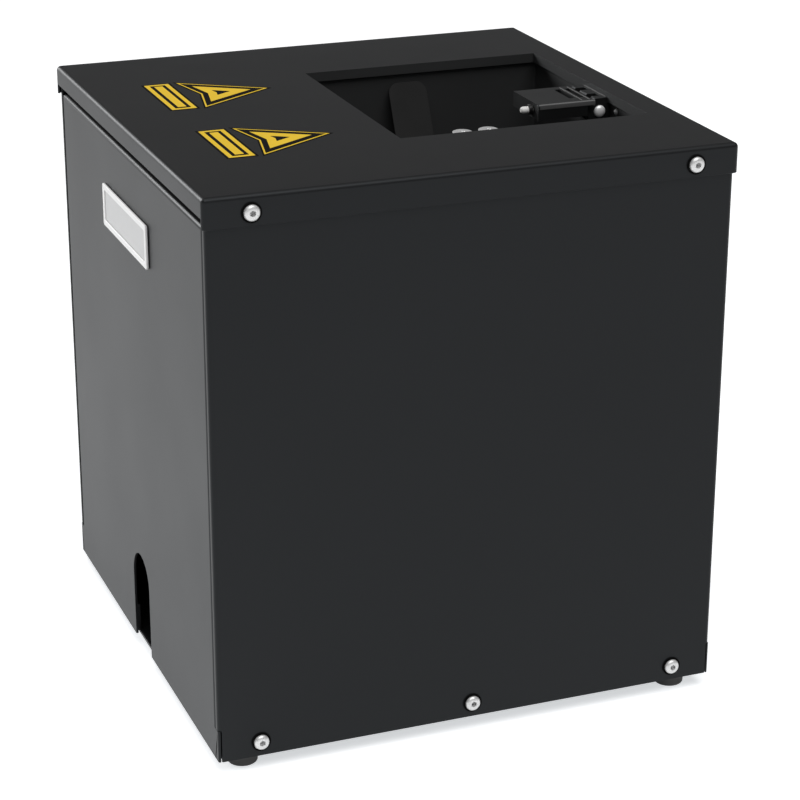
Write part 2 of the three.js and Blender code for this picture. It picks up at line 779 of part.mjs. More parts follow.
// Electrode carrier: a box open below, with a slot in its top and two arms that turn on the pin
function electrodeCarrier() {
  const x0 = pinX - carrierReach;
  const x1 = pinX - cheekRadius - wallPlay;
  const z0 = pinZ - carrierBelow;
  const z1 = pinZ + cheekRadius;
  const front = hingeFront - carrierLip;
  const wall = carrierWall;
  const shell = join(block(x0, x1, front, hingeRear, z0, z1),
    block(x1 - wall, x1 + carrierTongue, front, hingeRear, z1 - wall, z1));
  const hollow = block(x0 + wall, x1 - wall, front + wall, hingeRear - wall, z0 - overrun, z1 - wall);
  const slotX = x1 + carrierTongue - carrierSlotInset;
  const slotHalf = carrierSlotLength / 2;
  const slot = block(slotX - carrierSlotWidth, slotX, carrierOffset - slotHalf, carrierOffset + slotHalf,
    z1 - wall - overrun, z1 + overrun);
  const eye = pinRadius + pinPlay + carrierWall;
  const arms = armCentres.map((y) => {
    const ring = alongBack(post(eye, y - armWidth / 2, y + armWidth / 2)).translate(pinX, 0, pinZ);
    const bar = block(x1 - wall, pinX, y - armWidth / 2, y + armWidth / 2, z0, pinZ + eye);
    return join(ring, bar);
  });
  const bore = alongBack(post(pinRadius + pinPlay, hingeFront, hingeRear, fine)).translate(pinX, 0, pinZ);
  const tipY = hingeFront + ceramicInset;
  const tipZ = pinZ + cheekRadius - ceramicDrop;
  const passage = ceramicRadius + gap;
  const tipHole = alongX(post(passage, x0 - overrun, x0 + wall + overrun)).translate(0, tipY, tipZ);
  const body = cut(join(cut(shell, hollow), ...arms), bore, tipHole, slot);
  add('electrode_carrier', body, darkSteel);
  const left = x0 - ceramicProud;
  const point = ceramicRadius / 2;
  const tip = turned([
    [0, left],
    [point, left],
    [ceramicRadius, left + point],
    [ceramicRadius, left + ceramicLength],
    [0, left + ceramicLength],
  ]);
  add('electrode_ceramic', alongX(tip), ceramic, 0, tipY, tipZ);
}

const couplerMouth = -bodyX + couplerInset;
const valveLeft = couplerMouth + couplerLength + gap;
const valveRight = valveLeft + valveLength;
const valveX = (valveLeft + valveRight) / 2;

// Hose coupler behind the slot, with its sprung sleeve
function hoseCoupler() {
  const body = turned([
    [0, couplerLength - gap],
    [couplerBodyRadius, couplerLength - gap],
    [couplerBodyRadius, 0],
    [couplerBore, 0],
    [couplerBore, couplerBoreDepth],
    [0, couplerBoreDepth],
  ]);
  const hex = post(couplerHexRadius, couplerLength - couplerHexLength, couplerLength, hexagon);
  add('hose_coupler', alongX(join(body, hex)), brass, couplerMouth, slotCentre, gasZ);
  const inner = couplerBodyRadius + sleevePlay;
  const start = overrun;
  const groove = sleeveRadius - sleeveGroove;
  const sleeve = turned([
    [inner, start],
    [sleeveRadius, start],
    [sleeveRadius, start + sleeveLength / 3],
    [groove, start + sleeveLength / 2],
    [sleeveRadius, start + sleeveLength * 2 / 3],
    [sleeveRadius, start + sleeveLength],
    [inner, start + sleeveLength],
    [inner, start],
  ]);
  add('coupler_sleeve', alongX(sleeve), brightSteel, couplerMouth, slotCentre, gasZ);
}

// Shut-off valve on a foot, with its stem, and the lever on the stem
function shutoffValve() {
  const halfX = valveLength / 2;
  const halfY = valveWidth / 2;
  const halfZ = valveHeight / 2;
  const bottom = floorTop + gap - gasZ;
  const body = block(-halfX, halfX, -halfY, halfY, -halfZ, halfZ);
  const column = block(-valveFootLength / 2, valveFootLength / 2, -halfY / 2, halfY / 2, bottom, 0);
  const foot = block(-valveFootLength / 2, valveFootLength / 2, -valveFootWidth / 2, valveFootWidth / 2,
    bottom, bottom + valveFootHeight);
  const stem = post(stemRadius, 0, halfZ + stemHeight);
  add('shutoff_valve', join(body, column, foot, stem), brass, valveX, slotCentre, gasZ);
  const hub = post(leverHubRadius, 0, leverHubHeight);
  const halfWidth = leverWidth / 2;
  const bar = block(-halfWidth, halfWidth, 0, leverLength, leverHubHeight - leverThickness, leverHubHeight);
  const bore = post(stemRadius + stemPlay, -overrun, leverHubHeight + overrun);
  const lever = cut(join(hub, bar), bore);
  add('shutoff_lever', lever, redPlastic, valveX, slotCentre, gasZ + halfZ + gap);
}

// Straight pipe from the shut-off valve to the tank, with a nut at the valve
function inletPipe() {
  const start = valveRight + gap;
  const drop = tankZ - gasZ;
  const tankSide = burnerX - Math.sqrt(tankRadius ** 2 - drop ** 2);
  const end = tankSide + gap;
  const pipe = alongX(post(pipeRadius, start, end));
  const nut = alongX(post(pipeNutRadius, start, start + pipeNutLength, hexagon));
  const tankShape = alongBack(post(tankRadius + gap, -tankLength / 2, tankLength / 2, fine));
  const clearance = tankShape.translate(burnerX, -slotCentre, drop);
  add('inlet_pipe', cut(join(pipe, nut), clearance), zinc, 0, slotCentre, gasZ);
}

// Gas tank lying along Y on two saddles, with a neck for the main valve
function gasTank() {
  const half = tankLength / 2;
  const shell = turned([
    [0, -half],
    [tankRadius - tankEdge, -half],
    [tankRadius, -half + tankEdge],
    [tankRadius, half - tankEdge],
    [tankRadius - tankEdge, half],
    [0, half],
  ], fine);
  const bottom = floorTop + gap - tankZ;
  const saddles = [-1, 1].map((side) => {
    const y = side * (half - saddleInset);
    const halfLength = saddleLength / 2;
    return block(-saddleWidth / 2, saddleWidth / 2, y - halfLength, y + halfLength, bottom, 0);
  });
  const neck = post(tankNeckRadius, 0, tankRadius + tankNeckHeight).translate(0, burnerOffsetY, 0);
  add('gas_tank', join(alongBack(shell), ...saddles, neck), zinc, burnerX, 0, tankZ);
}

const mainValveLow = tankZ + tankRadius + tankNeckHeight + gap;
const mainValveTop = mainValveLow + valveBlockHeight;

// Main valve on the tank's neck, its coil beside it, and the riser to the burner
function mainValve() {
  const half = valveBlockSize / 2;
  const body = block(-half, half, -half, half, mainValveLow, mainValveTop);
  add('main_valve', body, brass, burnerX, burnerOffsetY);
  const coil = upright(roundedOutline(coilWidth / 2, coilHeight / 2, coilCorner), 0, coilLength);
  const middle = (mainValveLow + mainValveTop) / 2;
  add('valve_coil', alongX(coil), blackPlastic, burnerX + half + gap, burnerOffsetY, middle);
  const low = mainValveTop + gap;
  const pipe = post(riserRadius, low, wellFloor);
  const nut = post(riserNutRadius, low, low + riserNutHeight, hexagon);
  add('riser_pipe', join(pipe, nut), brightSteel, burnerX, burnerOffsetY);
}

function electricalSide() {
  const right = bulkheadLeft - gap;
  const rear = trayBack - trayFlange - gap;
  const supplyLow = footHeight + supplyRise;
  const supplyFront = rear - supplyLength;
  const box = block(right - supplyDepth, right, supplyFront, rear, supplyLow, supplyLow + supplyHeight);
  const ears = block(right - sheet, right, supplyFront - supplyFlange, rear, supplyLow, supplyLow + supplyHeight);
  add('power_supply', join(box, ears), zinc);

  const boardRear = supplyFront - supplyFlange - boardMargin;
  const boardFront = boardRear - boardLength;
  const boardLow = footHeight + boardRise;
  const boardTop = boardLow + boardHeight;
  const face = right - boardStandoff;
  const sheetOfBoard = block(face - boardThickness, face, boardFront, boardRear, boardLow, boardTop);
  const corners = [];
  for (const y of [boardFront + boardMargin, boardRear - boardMargin]) {
    for (const z of [boardLow + boardMargin, boardTop - boardMargin]) {
      corners.push(alongX(post(standoffRadius, 0, boardStandoff + boardThickness / 2, coarse))
        .translate(face - boardThickness / 2, y, z));
    }
  }
  // Raised parts on the board, as shares of its length and height, and their depth in board thicknesses
  const partShares = [
    [0.08, 0.10, 0.42, 0.30, 9],
    [0.55, 0.08, 0.92, 0.22, 6],
    [0.10, 0.42, 0.34, 0.60, 4],
    [0.48, 0.40, 0.80, 0.62, 2],
    [0.12, 0.74, 0.88, 0.86, 6],
  ];
  const parts = partShares.map(([y0, z0, y1, z1, depth]) => block(
    face - boardThickness * (1 + depth), face - boardThickness / 2,
    boardFront + boardLength * y0, boardFront + boardLength * y1,
    boardLow + boardHeight * z0, boardLow + boardHeight * z1,
  ));
  add('control_board', join(sheetOfBoard, ...corners, ...parts), greenBoard);

  const low = floorTop + gap;
  const x0 = -bodyX + transformerInset;
  const y0 = -trayY + sheet + transformerInset;
  const potted = block(x0, x0 + transformerWidth, y0, y0 + transformerLength, low, low + transformerHeight);
  const plinth = block(x0 - transformerRise, x0 + transformerWidth + transformerRise, y0, y0 + transformerLength,
    low, low + transformerRise);
  const leadTop = low + transformerHeight + leadLength;
  const leads = [1, 2].map((turn) => {
    const y = y0 + transformerLength * turn / 3;
    return post(leadRadius, low, leadTop, coarse).translate(x0 + transformerWidth / 2, y, 0);
  });
  add('ignition_transformer', join(potted, plinth, ...leads), blackPlastic);
}

const trayMiddle = footHeight + trayRise + trayHeight / 2;
const ioX = (share) => share * trayWidth;
const frontOfTray = trayFace + gap;

// Recessed tray that holds the connectors and controls, with a flange behind the rear panel
function connectorTray() {
  const halfX = trayWidth / 2;
  const halfZ = trayHeight / 2;
  const rim = bodyY - sheet - gap;
  const outside = block(-halfX - sheet, halfX + sheet, trayBack, rim, -halfZ - sheet, halfZ + sheet);
  const flangeX = halfX + sheet + trayFlange;
  const flangeZ = halfZ + sheet + trayFlange;
  const flange = block(-flangeX, flangeX, rim - sheet, rim, -flangeZ, flangeZ);
  const inside = block(-halfX, halfX, trayFace, rim + overrun, -halfZ, halfZ);
  const y0 = trayBack - overrun;
  const y1 = trayFace + overrun;
  const inletX = ioX(inletShare);
  const bodyHalfX = inletWidth / 2 - inletBodyMargin + flangePlay;
  const bodyHalfZ = inletHeight / 2 - inletBodyMargin + flangePlay;
  const inlet = block(inletX - bodyHalfX, inletX + bodyHalfX, y0, y1, -bodyHalfZ, bodyHalfZ);
  const round = (radius, x, z) => alongBack(post(radius + flangePlay, y0, y1)).translate(x, 0, z);
  const dataIn = round(dataBodyRadius, ioX(dataInShare), 0);
  const dataOut = round(dataBodyRadius, ioX(dataOutShare), 0);
  const keyHole = round(keyBodyRadius, ioX(keyShare), 0);
  const buttonHoles = buttonPlaces().map(([x, z]) => round(buttonRadius, x, z));
  const shell = cut(join(outside, flange), inside, inlet, dataIn, dataOut, keyHole, ...buttonHoles);
  add('connector_tray', shell, darkSteel, 0, 0, trayMiddle);
}

function buttonPlaces() {
  return [0, 1, 2, 3].map((n) => [ioX(displayShare) + (n - 3 / 2) * buttonSpacing, -buttonDrop]);
}

// Power inlet: a flange and a body, with a socket for the plug below and a bed for the rocker above
function powerInlet() {
  const halfX = inletWidth / 2;
  const halfZ = inletHeight / 2;
  const front = frontOfTray + inletFlange;
  const bodyHalfX = halfX - inletBodyMargin;
  const bodyHalfZ = halfZ - inletBodyMargin;
  const flange = block(-halfX, halfX, frontOfTray, front, -halfZ, halfZ);
  const body = block(-bodyHalfX, bodyHalfX, frontOfTray - inletBodyDepth, front, -bodyHalfZ, bodyHalfZ);
  const socket = block(-plugWidth / 2, plugWidth / 2, front - plugDepth, front + overrun,
    -plugDrop - plugHeight / 2, -plugDrop + plugHeight / 2);
  const pins = [-1, 0, 1].map((n) => {
    const x = n * plugPinSpacing;
    const z = -plugDrop + (n === 0 ? plugPinHeight / 2 : -plugPinHeight / 4);
    const half = plugPinWidth / 2;
    const y0 = front - plugDepth - overrun;
    const y1 = front - plugDepth + plugPinLength;
    return block(x - half, x + half, y0, y1, z - plugPinHeight / 2, z + plugPinHeight / 2);
  });
  const bedX = rockerWidth / 2 + gap;
  const bedZ = rockerHeight / 2 + rockerPlay;
  const bedDepth = rockerPivot + rockerDepth + rockerPlay;
  const bed = block(-bedX, bedX, front - bedDepth, front + overrun, rockerRise - bedZ, rockerRise + bedZ);
  const shell = join(cut(join(flange, body), socket, bed), ...pins);
  add('power_inlet', shell, blackPlastic, ioX(inletShare), 0, trayMiddle);
}

// The power rocker, resting tipped to its off side
function powerRocker() {
  const halfX = rockerWidth / 2;
  const halfZ = rockerHeight / 2;
  const root = halfZ * rockerRootShare;
  const outline = new THREE.Shape();
  outline.moveTo(-rockerDepth, -root);
  outline.lineTo(rockerProud, -halfZ);
  outline.lineTo(rockerDip, 0);
  outline.lineTo(rockerProud, halfZ);
  outline.lineTo(-rockerDepth, root);
  const rocker = lengthwise(outline, -halfX, halfX).rotateX(THREE.MathUtils.degToRad(rockerTilt));
  const y = frontOfTray + inletFlange - rockerPivot;
  add('power_rocker', rocker, redPlastic, ioX(inletShare), y, trayMiddle + rockerRise);
}

// A data socket's flange and round body, on the Y axis with its front face at zero
function dataBody() {
  const halfX = dataFlangeWidth / 2;
  const halfZ = dataFlangeHeight / 2;
  const flange = block(-halfX, halfX, -dataFlangeDepth, 0, -halfZ, halfZ);
  return join(flange, alongBack(post(dataBodyRadius, -dataBodyDepth, 0)));
}

function dataPinPlaces() {
  return [0, 1, 2].map((n) => {
    const angle = Math.PI / 2 * (n - 1) + Math.PI / 2;
    return [dataPinCircle * Math.cos(angle), dataPinCircle * Math.sin(angle)];
  });
}

function dataSockets() {
  const y = frontOfTray + dataFlangeDepth;
  const cavity = alongBack(post(dataCavityRadius, -dataCavityDepth, overrun));
  const pins = dataPinPlaces().map(([x, z]) => {
    const pin = post(dataPinRadius, -dataCavityDepth - overrun, -dataCavityDepth + dataPinLength, coarse);
    return alongBack(pin).translate(x, 0, z);
  });
  add('data_inlet', join(cut(dataBody(), cavity), ...pins), zinc, ioX(dataInShare), y, trayMiddle);
  const holes = dataPinPlaces().map(([x, z]) => {
    return alongBack(post(dataHoleRadius, -dataPinLength, overrun, coarse)).translate(x, 0, z);
  });
  add('data_outlet', cut(dataBody(), ...holes), zinc, ioX(dataOutShare), y, trayMiddle);
}

function displayWindow() {
  const halfX = displayWidth / 2;
  const halfZ = displayHeight / 2;
  const pane = block(-halfX, halfX, 0, displayDepth, -halfZ, halfZ);
  const inX = halfX - displayEdge;
  const inZ = halfZ - displayEdge;
  const recess = block(-inX, inX, displayDepth - displayRecess, displayDepth + overrun, -inZ, inZ);
  add('display_window', cut(pane, recess), displayGlass, ioX(displayShare), frontOfTray, trayMiddle + displayRise);
}

// Menu buttons: each cap stands in its hole, with a flange behind the tray and a stem
function menuButtons() {
  const behind = trayBack - gap;
  const points = [
    [0, behind - buttonFlange - buttonStem],
    [buttonRadius / 2, behind - buttonFlange - buttonStem],
    [buttonRadius / 2, behind - buttonFlange],
    [buttonFlangeRadius, behind - buttonFlange],
    [buttonFlangeRadius, behind],
    [buttonRadius, behind],
    [buttonRadius, trayFace + buttonProud - buttonEdge],
    [buttonRadius - buttonEdge, trayFace + buttonProud],
    [0, trayFace + buttonProud],
  ];
  const names = ['menu', 'up', 'down', 'enter'];
  buttonPlaces().forEach(([x, z], i) => {
    add('button_' + names[i], alongBack(turned(points)), blackPlastic, x, 0, trayMiddle + z);
  });
}

// Key switch: a barrel, a core that turns in it, and the arming key in the core's slot
function keySwitch() {
  const x = ioX(keyShare);
  const front = frontOfTray + keyFlange;
  const barrel = turned([
    [0, frontOfTray - keyBodyDepth],
    [keyBodyRadius, frontOfTray - keyBodyDepth],
    [keyBodyRadius, frontOfTray],
    [keyFlangeRadius, frontOfTray],
    [keyFlangeRadius, front],
    [keyCoreRadius + keyPlay, front],
    [keyCoreRadius + keyPlay, front - keyCoreDepth - keyPlay],
    [0, front - keyCoreDepth - keyPlay],
  ]);
  add('key_barrel', alongBack(barrel), zinc, x, 0, trayMiddle);
  const slotX = keyBladeThickness / 2 + keyPlay;
  const slotZ = keyBladeWidth / 2 + keyPlay;
  const core = alongBack(post(keyCoreRadius, front - keyCoreDepth, front));
  const slot = block(-slotX, slotX, front - keyInsert - keyPlay, front + overrun, -slotZ, slotZ);
  add('key_core', cut(core, slot), brightSteel, x, 0, trayMiddle);
  const halfX = keyBladeThickness / 2;
  const halfZ = keyBladeWidth / 2;
  const bowY = front + keyNeck + keyBowRadius;
  const blade = block(-halfX, halfX, front - keyInsert, bowY - keyBowHole, -halfZ, halfZ);
  const bow = alongX(post(keyBowRadius, -halfX, halfX)).translate(0, bowY, 0);
  const hole = alongX(post(keyBowHole, -halfX - overrun, halfX + overrun, coarse));
  const holeY = bowY + keyBowRadius / 2;
  add('arming_key', cut(join(blade, bow), hole.translate(0, holeY, 0)), brightSteel, x, 0, trayMiddle);
}

baseTray();
feet();
frontCover();
rearPanel();
sidePanels();
topLid();
screws();
addressPlate();
burnerWell();
bulkhead();
wellStand();
burner();
airGuide();
hingeBracket();
hingePin();
electrodeCarrier();
hoseCoupler();
shutoffValve();
inletPipe();
gasTank();
mainValve();
electricalSide();
connectorTray();
powerInlet();
powerRocker();
dataSockets();
displayWindow();
menuButtons();
keySwitch();

export default machine;
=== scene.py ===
"""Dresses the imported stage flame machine: the painted case, the burner well with its hinged electrode
carrier, the gas line, the connector tray and the studio round them. The front is at -Y, and +Z is up."""

import json
import math

import bpy
from mathutils import Matrix, Vector

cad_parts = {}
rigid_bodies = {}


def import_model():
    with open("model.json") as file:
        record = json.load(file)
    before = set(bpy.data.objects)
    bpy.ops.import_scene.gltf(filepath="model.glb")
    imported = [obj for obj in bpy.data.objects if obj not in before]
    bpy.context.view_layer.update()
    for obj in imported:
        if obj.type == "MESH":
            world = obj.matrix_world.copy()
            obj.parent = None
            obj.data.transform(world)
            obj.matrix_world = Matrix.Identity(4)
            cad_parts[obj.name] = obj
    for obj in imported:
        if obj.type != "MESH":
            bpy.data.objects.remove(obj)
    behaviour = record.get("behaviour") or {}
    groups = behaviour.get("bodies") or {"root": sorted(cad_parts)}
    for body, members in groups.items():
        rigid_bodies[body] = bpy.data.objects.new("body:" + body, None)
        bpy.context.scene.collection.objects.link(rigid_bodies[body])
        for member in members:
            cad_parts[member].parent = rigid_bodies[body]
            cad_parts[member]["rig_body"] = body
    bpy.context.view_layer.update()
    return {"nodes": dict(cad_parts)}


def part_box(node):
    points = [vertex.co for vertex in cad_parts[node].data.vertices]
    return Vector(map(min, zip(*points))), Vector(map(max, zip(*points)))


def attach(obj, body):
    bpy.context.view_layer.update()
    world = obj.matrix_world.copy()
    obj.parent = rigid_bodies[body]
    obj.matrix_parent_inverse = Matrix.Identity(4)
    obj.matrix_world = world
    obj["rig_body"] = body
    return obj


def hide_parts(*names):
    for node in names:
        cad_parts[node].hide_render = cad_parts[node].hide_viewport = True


bl_info = {
    "name": "Stage flame machine",
    "version": (1, 0, 0),
    "blender": (4, 5, 0),
    "location": "3D View > Sidebar > Flame machine",
    "description": "Builds the case, the burner, the controls and the studio of a stage flame machine",
    "category": "Object",
}

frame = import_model()

MM = 0.001
X, Y, Z = 0, 1, 2
CASE = "machine"

# In millimetres: what counts as the same place in a test, and as one point when points are merged
NEAR = 0.05
SAME_POINT = 0.002
# How much of its normal a face that faces along an axis has on it
MOSTLY = 0.9


# Settings that a user would change

class CaseSettings(bpy.types.PropertyGroup):
    """Sizes of the sheet metal"""
    sheet: bpy.props.FloatProperty(
        name="Sheet", description="Thickness of the case's sheet", default=0.0012, unit="LENGTH")
    lid_bend: bpy.props.FloatProperty(
        name="Lid bend", description="Outer radius of the lid's bends", default=0.0024, unit="LENGTH")
    case_bend: bpy.props.FloatProperty(
        name="Case bend", description="Outer radius of the covers' bends", default=0.0024, unit="LENGTH")
    rim_bend: bpy.props.FloatProperty(
        name="Rim bend", description="Radius of the flame outlet's turned-down rim",
        default=0.00006, unit="LENGTH")
    broken_edge: bpy.props.FloatProperty(
        name="Broken edge", description="Width of the rounding on cut sheet edges",
        default=0.00018, unit="LENGTH")


class FinishSettings(bpy.types.PropertyGroup):
    """Colours of the main finishes"""
    paint: bpy.props.FloatVectorProperty(
        name="Case paint", description="Powder coat of the case", default=(0.008, 0.008, 0.0085),
        size=3, min=0, max=1, subtype="COLOR")
    well: bpy.props.FloatVectorProperty(
        name="Well paint", description="Heat-proof paint of the burner well", default=(0.03, 0.03, 0.03),
        size=3, min=0, max=1, subtype="COLOR")
    marker: bpy.props.FloatVectorProperty(
        name="Marker", description="Yellow of the direction markers", default=(0.95, 0.62, 0.028),
        size=3, min=0, max=1, subtype="COLOR")
    plate: bpy.props.FloatVectorProperty(
        name="Address plate", description="Rim of the address plate", default=(0.98, 0.98, 0.98),
        size=3, min=0, max=1, subtype="COLOR")
    card: bpy.props.FloatVectorProperty(
        name="Address card", description="Card in the address plate", default=(0.74, 0.745, 0.75),
        size=3, min=0, max=1, subtype="COLOR")


class StudioSettings(bpy.types.PropertyGroup):
    """Light and floor of the studio"""
    floor: bpy.props.FloatVectorProperty(
        name="Floor", description="Colour of the floor", default=(0.9, 0.9, 0.9),
        size=3, min=0, max=1, subtype="COLOR")
    glow: bpy.props.FloatProperty(
        name="Floor glow", description="Level of the floor's own light round the machine",
        default=1.35, min=0)
    world: bpy.props.FloatProperty(
        name="Room light", description="Level of the even light from all round", default=0.12, min=0)
    overhead: bpy.props.FloatProperty(
        name="Overhead", description="Share of white that reflections find overhead",
        default=0.55, min=0, max=1)
    key: bpy.props.FloatProperty(
        name="Key light", description="Strength of the soft light from above the front",
        default=1.8, min=0)
    side: bpy.props.FloatProperty(
        name="Side light", description="Strength of the soft light from behind the left",
        default=2.04, min=0)
    lens: bpy.props.FloatProperty(
        name="Lens", description="Focal length of the camera", default=110.54, min=1)


# Selecting

def corners(node):
    """Lowest and highest corner of a CAD node, in millimetres"""
    low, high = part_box(node)
    return low / MM, high / MM


def extent(node):
    """Lowest corner, highest corner and middle of a CAD node, in millimetres"""
    low, high = corners(node)
    return low, high, (low + high) / 2


def clear_selection():
    if bpy.context.object and bpy.context.object.mode != "OBJECT":
        leave_edit()
    bpy.ops.object.select_all(action="DESELECT")


def activate(piece):
    clear_selection()
    piece.select_set(True)
    bpy.context.view_layer.objects.active = piece


def enter_edit():
    bpy.ops.object.mode_set(mode="EDIT")


def leave_edit():
    bpy.ops.object.mode_set(mode="OBJECT")


def near(a, b):
    return abs(a - b) < NEAR


def along(axis):
    """A test on an edge's two ends that passes the edges which run along an axis"""
    others = [n for n in (X, Y, Z) if n != axis]
    return lambda a, b: all(near(a[n], b[n]) for n in others)


upright = along(Z)


def choose(piece, kind, wanted):
    """Enters edit mode with the faces or edges chosen that pass the test"""
    activate(piece)
    enter_edit()
    bpy.ops.mesh.select_mode(type=kind)
    bpy.ops.mesh.select_all(action="DESELECT")
    leave_edit()
    parts = piece.data.polygons if kind == "FACE" else piece.data.edges
    for part in parts:
        part.select = bool(wanted(part))
    if not any(part.select for part in parts):
        raise RuntimeError(f"no {kind.lower()} of {piece.name} passes the test")
    enter_edit()


def choose_faces(piece, wanted):
    """Chooses faces by a test on their middle, in millimetres, and their normal"""
    choose(piece, "FACE", lambda face: wanted(face.center / MM, face.normal))


def choose_edges(piece, wanted):
    """Chooses edges by a test on their two ends, in millimetres"""
    def ends_wanted(edge):
        return wanted(*[piece.data.vertices[end].co / MM for end in edge.vertices])

    choose(piece, "EDGE", ends_wanted)


# Shaping

def settle(piece):
    """Puts the piece's place, turn and scale into its mesh"""
    activate(piece)
    bpy.ops.object.transform_apply(location=True, rotation=True, scale=True)
    return piece


def added(name):
    """The primitive that was just added, under its name"""
    piece = bpy.context.object
    piece.name = name
    return piece


def block(name, low, high):
    """A box from its low to its high corner"""
    clear_selection()
    bpy.ops.mesh.primitive_cube_add(size=1)
    piece = added(name)
    piece.location = [(a + b) / 2 * MM for a, b in zip(low, high)]
    piece.scale = [abs(b - a) * MM for a, b in zip(low, high)]
    return settle(piece)


def flat_sheet(name, low, high):
    """A flat rectangle at height 0 that faces up, from its low to its high x and y"""
    clear_selection()
    bpy.ops.mesh.primitive_plane_add(size=1)
    piece = added(name)
    piece.location = [(low[X] + high[X]) / 2 * MM, (low[Y] + high[Y]) / 2 * MM, 0]
    piece.scale = [(high[X] - low[X]) * MM, (high[Y] - low[Y]) * MM, 1]
    return settle(piece)


def drum(name, radius, low, high, sides):
    """An upright cylinder on the Z axis"""
    clear_selection()
    bpy.ops.mesh.primitive_cylinder_add(vertices=sides, radius=radius * MM, depth=(high - low) * MM)
    piece = added(name)
    piece.location = (0, 0, (low + high) / 2 * MM)
    return settle(piece)


def merge_points():
    bpy.ops.mesh.select_all(action="SELECT")
    bpy.ops.mesh.remove_doubles(threshold=SAME_POINT * MM)
    bpy.ops.mesh.select_all(action="SELECT")


def close_seams():
    """Merges the points that lie on each other and turns all faces outwards"""
    merge_points()
    bpy.ops.mesh.normals_make_consistent(inside=False)


def turned(name, profile, sides=48):
    """A closed turned piece on the Z axis, spun from its [radius, height] points"""
    clear_selection()
    bpy.ops.mesh.primitive_plane_add(size=1)
    piece = added(name)
    points = [Vector((radius * MM, 0, height * MM)) for radius, height in profile]
    enter_edit()
    bpy.ops.mesh.select_mode(type="VERT")
    bpy.ops.mesh.select_all(action="SELECT")
    bpy.ops.mesh.merge(type="CENTER")
    bpy.ops.transform.translate(value=points[0])
    for start, end in zip(points, points[1:]):
        bpy.ops.mesh.extrude_region_move(TRANSFORM_OT_translate={"value": end - start})
    bpy.ops.mesh.select_all(action="SELECT")
    bpy.ops.mesh.spin(steps=sides, angle=math.tau, center=(0, 0, 0), axis=(0, 0, 1))
    close_seams()
    leave_edit()
    return piece


def flat_shape(name, outline, low, high):
    """A thin plate from its outline of [x, y] points"""
    clear_selection()
    curve = bpy.data.curves.new(name, "CURVE")
    curve.dimensions = "2D"
    curve.fill_mode = "BOTH"
    curve.extrude = (high - low) / 2 * MM
    spline = curve.splines.new("POLY")
    spline.points.add(len(outline) - 1)
    for point, (x, y) in zip(spline.points, outline):
        point.co = (x * MM, y * MM, 0, 1)
    spline.use_cyclic_u = True
    piece = bpy.data.objects.new(name, curve)
    bpy.context.scene.collection.objects.link(piece)
    activate(piece)
    bpy.ops.object.convert(target="MESH")
    piece = bpy.context.object
    enter_edit()
    close_seams()
    leave_edit()
    return put(piece, (0, 0, (low + high) / 2))


def put(piece, place=(0, 0, 0), turn=(0, 0, 0)):
    """Turns the piece about the origin by degrees, then shifts it by millimetres"""
    piece.rotation_euler = [math.radians(angle) for angle in turn]
    piece.location = Vector(place) * MM
    return settle(piece)


FACING_FRONT = (90, 0, 0)
FACING_BACK = (-90, 0, 0)
FACING_LEFT = (0, -90, 0)
FACING_RIGHT = (0, 90, 0)


def copy_of(piece, name):
    clear_selection()
    twin = piece.copy()
    twin.data = piece.data.copy()
    twin.name = name
    bpy.context.scene.collection.objects.link(twin)
    return twin


def discard(piece):
    bpy.data.objects.remove(piece)


def open_up(piece, wanted):
    """Deletes the chosen faces"""
    choose_faces(piece, wanted)
    bpy.ops.mesh.delete(type="FACE")
    leave_edit()


def push(piece, wanted, shift):
    """Extrudes the chosen faces by a shift"""
    choose_faces(piece, wanted)
    bpy.ops.mesh.extrude_region_move(TRANSFORM_OT_translate={"value": Vector(shift) * MM})
    leave_edit()


def round_edges(piece, wanted, radius, steps=4):
    choose_edges(piece, wanted)
    bpy.ops.mesh.bevel(offset=radius * MM, segments=steps, affect="EDGES")
    leave_edit()


def slice_at(piece, point, normal):
    """Adds a cut line through the piece where a plane crosses it"""
    activate(piece)
    enter_edit()
    bpy.ops.mesh.select_all(action="SELECT")
    bpy.ops.mesh.bisect(plane_co=Vector(point) * MM, plane_no=normal)
    leave_edit()


def modify(piece, kind, **values):
    """Adds a modifier and applies it"""
    activate(piece)
    modifier = piece.modifiers.new(kind.title(), kind)
    for name, value in values.items():
        setattr(modifier, name, value)
    bpy.ops.object.modifier_apply(modifier=modifier.name)


def merge(pieces, name):
    """Joins separate shells into one object"""
    activate(pieces[0])
    for piece in pieces[1:]:
        piece.select_set(True)
    if len(pieces) > 1:
        bpy.ops.object.join()
    pieces[0].name = name
    return pieces[0]


def boolean(piece, operation, tools):
    """Applies each tool to the piece and discards it"""
    for tool in tools:
        modify(piece, "BOOLEAN", operation=operation, solver="EXACT", object=tool)
        discard(tool)
    return piece


def cut(piece, *tools):
    return boolean(piece, "DIFFERENCE", tools)


def fuse(piece, *others):
    return boolean(piece, "UNION", others)


def thicken(piece, thickness):
    """Gives a sheet its thickness behind its outer face"""
    modify(piece, "SOLIDIFY", thickness=thickness * MM, offset=-1, use_even_offset=True)


SHARP_ANGLE = 40


def soften(piece, width, steps=2):
    """Rounds every sharp edge a little"""
    modify(piece, "BEVEL", width=width * MM, segments=steps, limit_method="ANGLE",
           angle_limit=math.radians(SHARP_ANGLE), use_clamp_overlap=True)


FLAT_ANGLE = 0.5


def refined(node, name, width, steps=2):
    """A copy of a CAD node with its corners merged, its flats joined and its edges rounded"""
    piece = copy_of(frame["nodes"][node], name)
    piece.parent = None
    for key in [key for key in piece.keys() if key.startswith("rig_")]:
        del piece[key]
    activate(piece)
    enter_edit()
    merge_points()
    bpy.ops.mesh.dissolve_limited(angle_limit=math.radians(FLAT_ANGLE))
    leave_edit()
    if width:
        soften(piece, width, steps)
    return piece


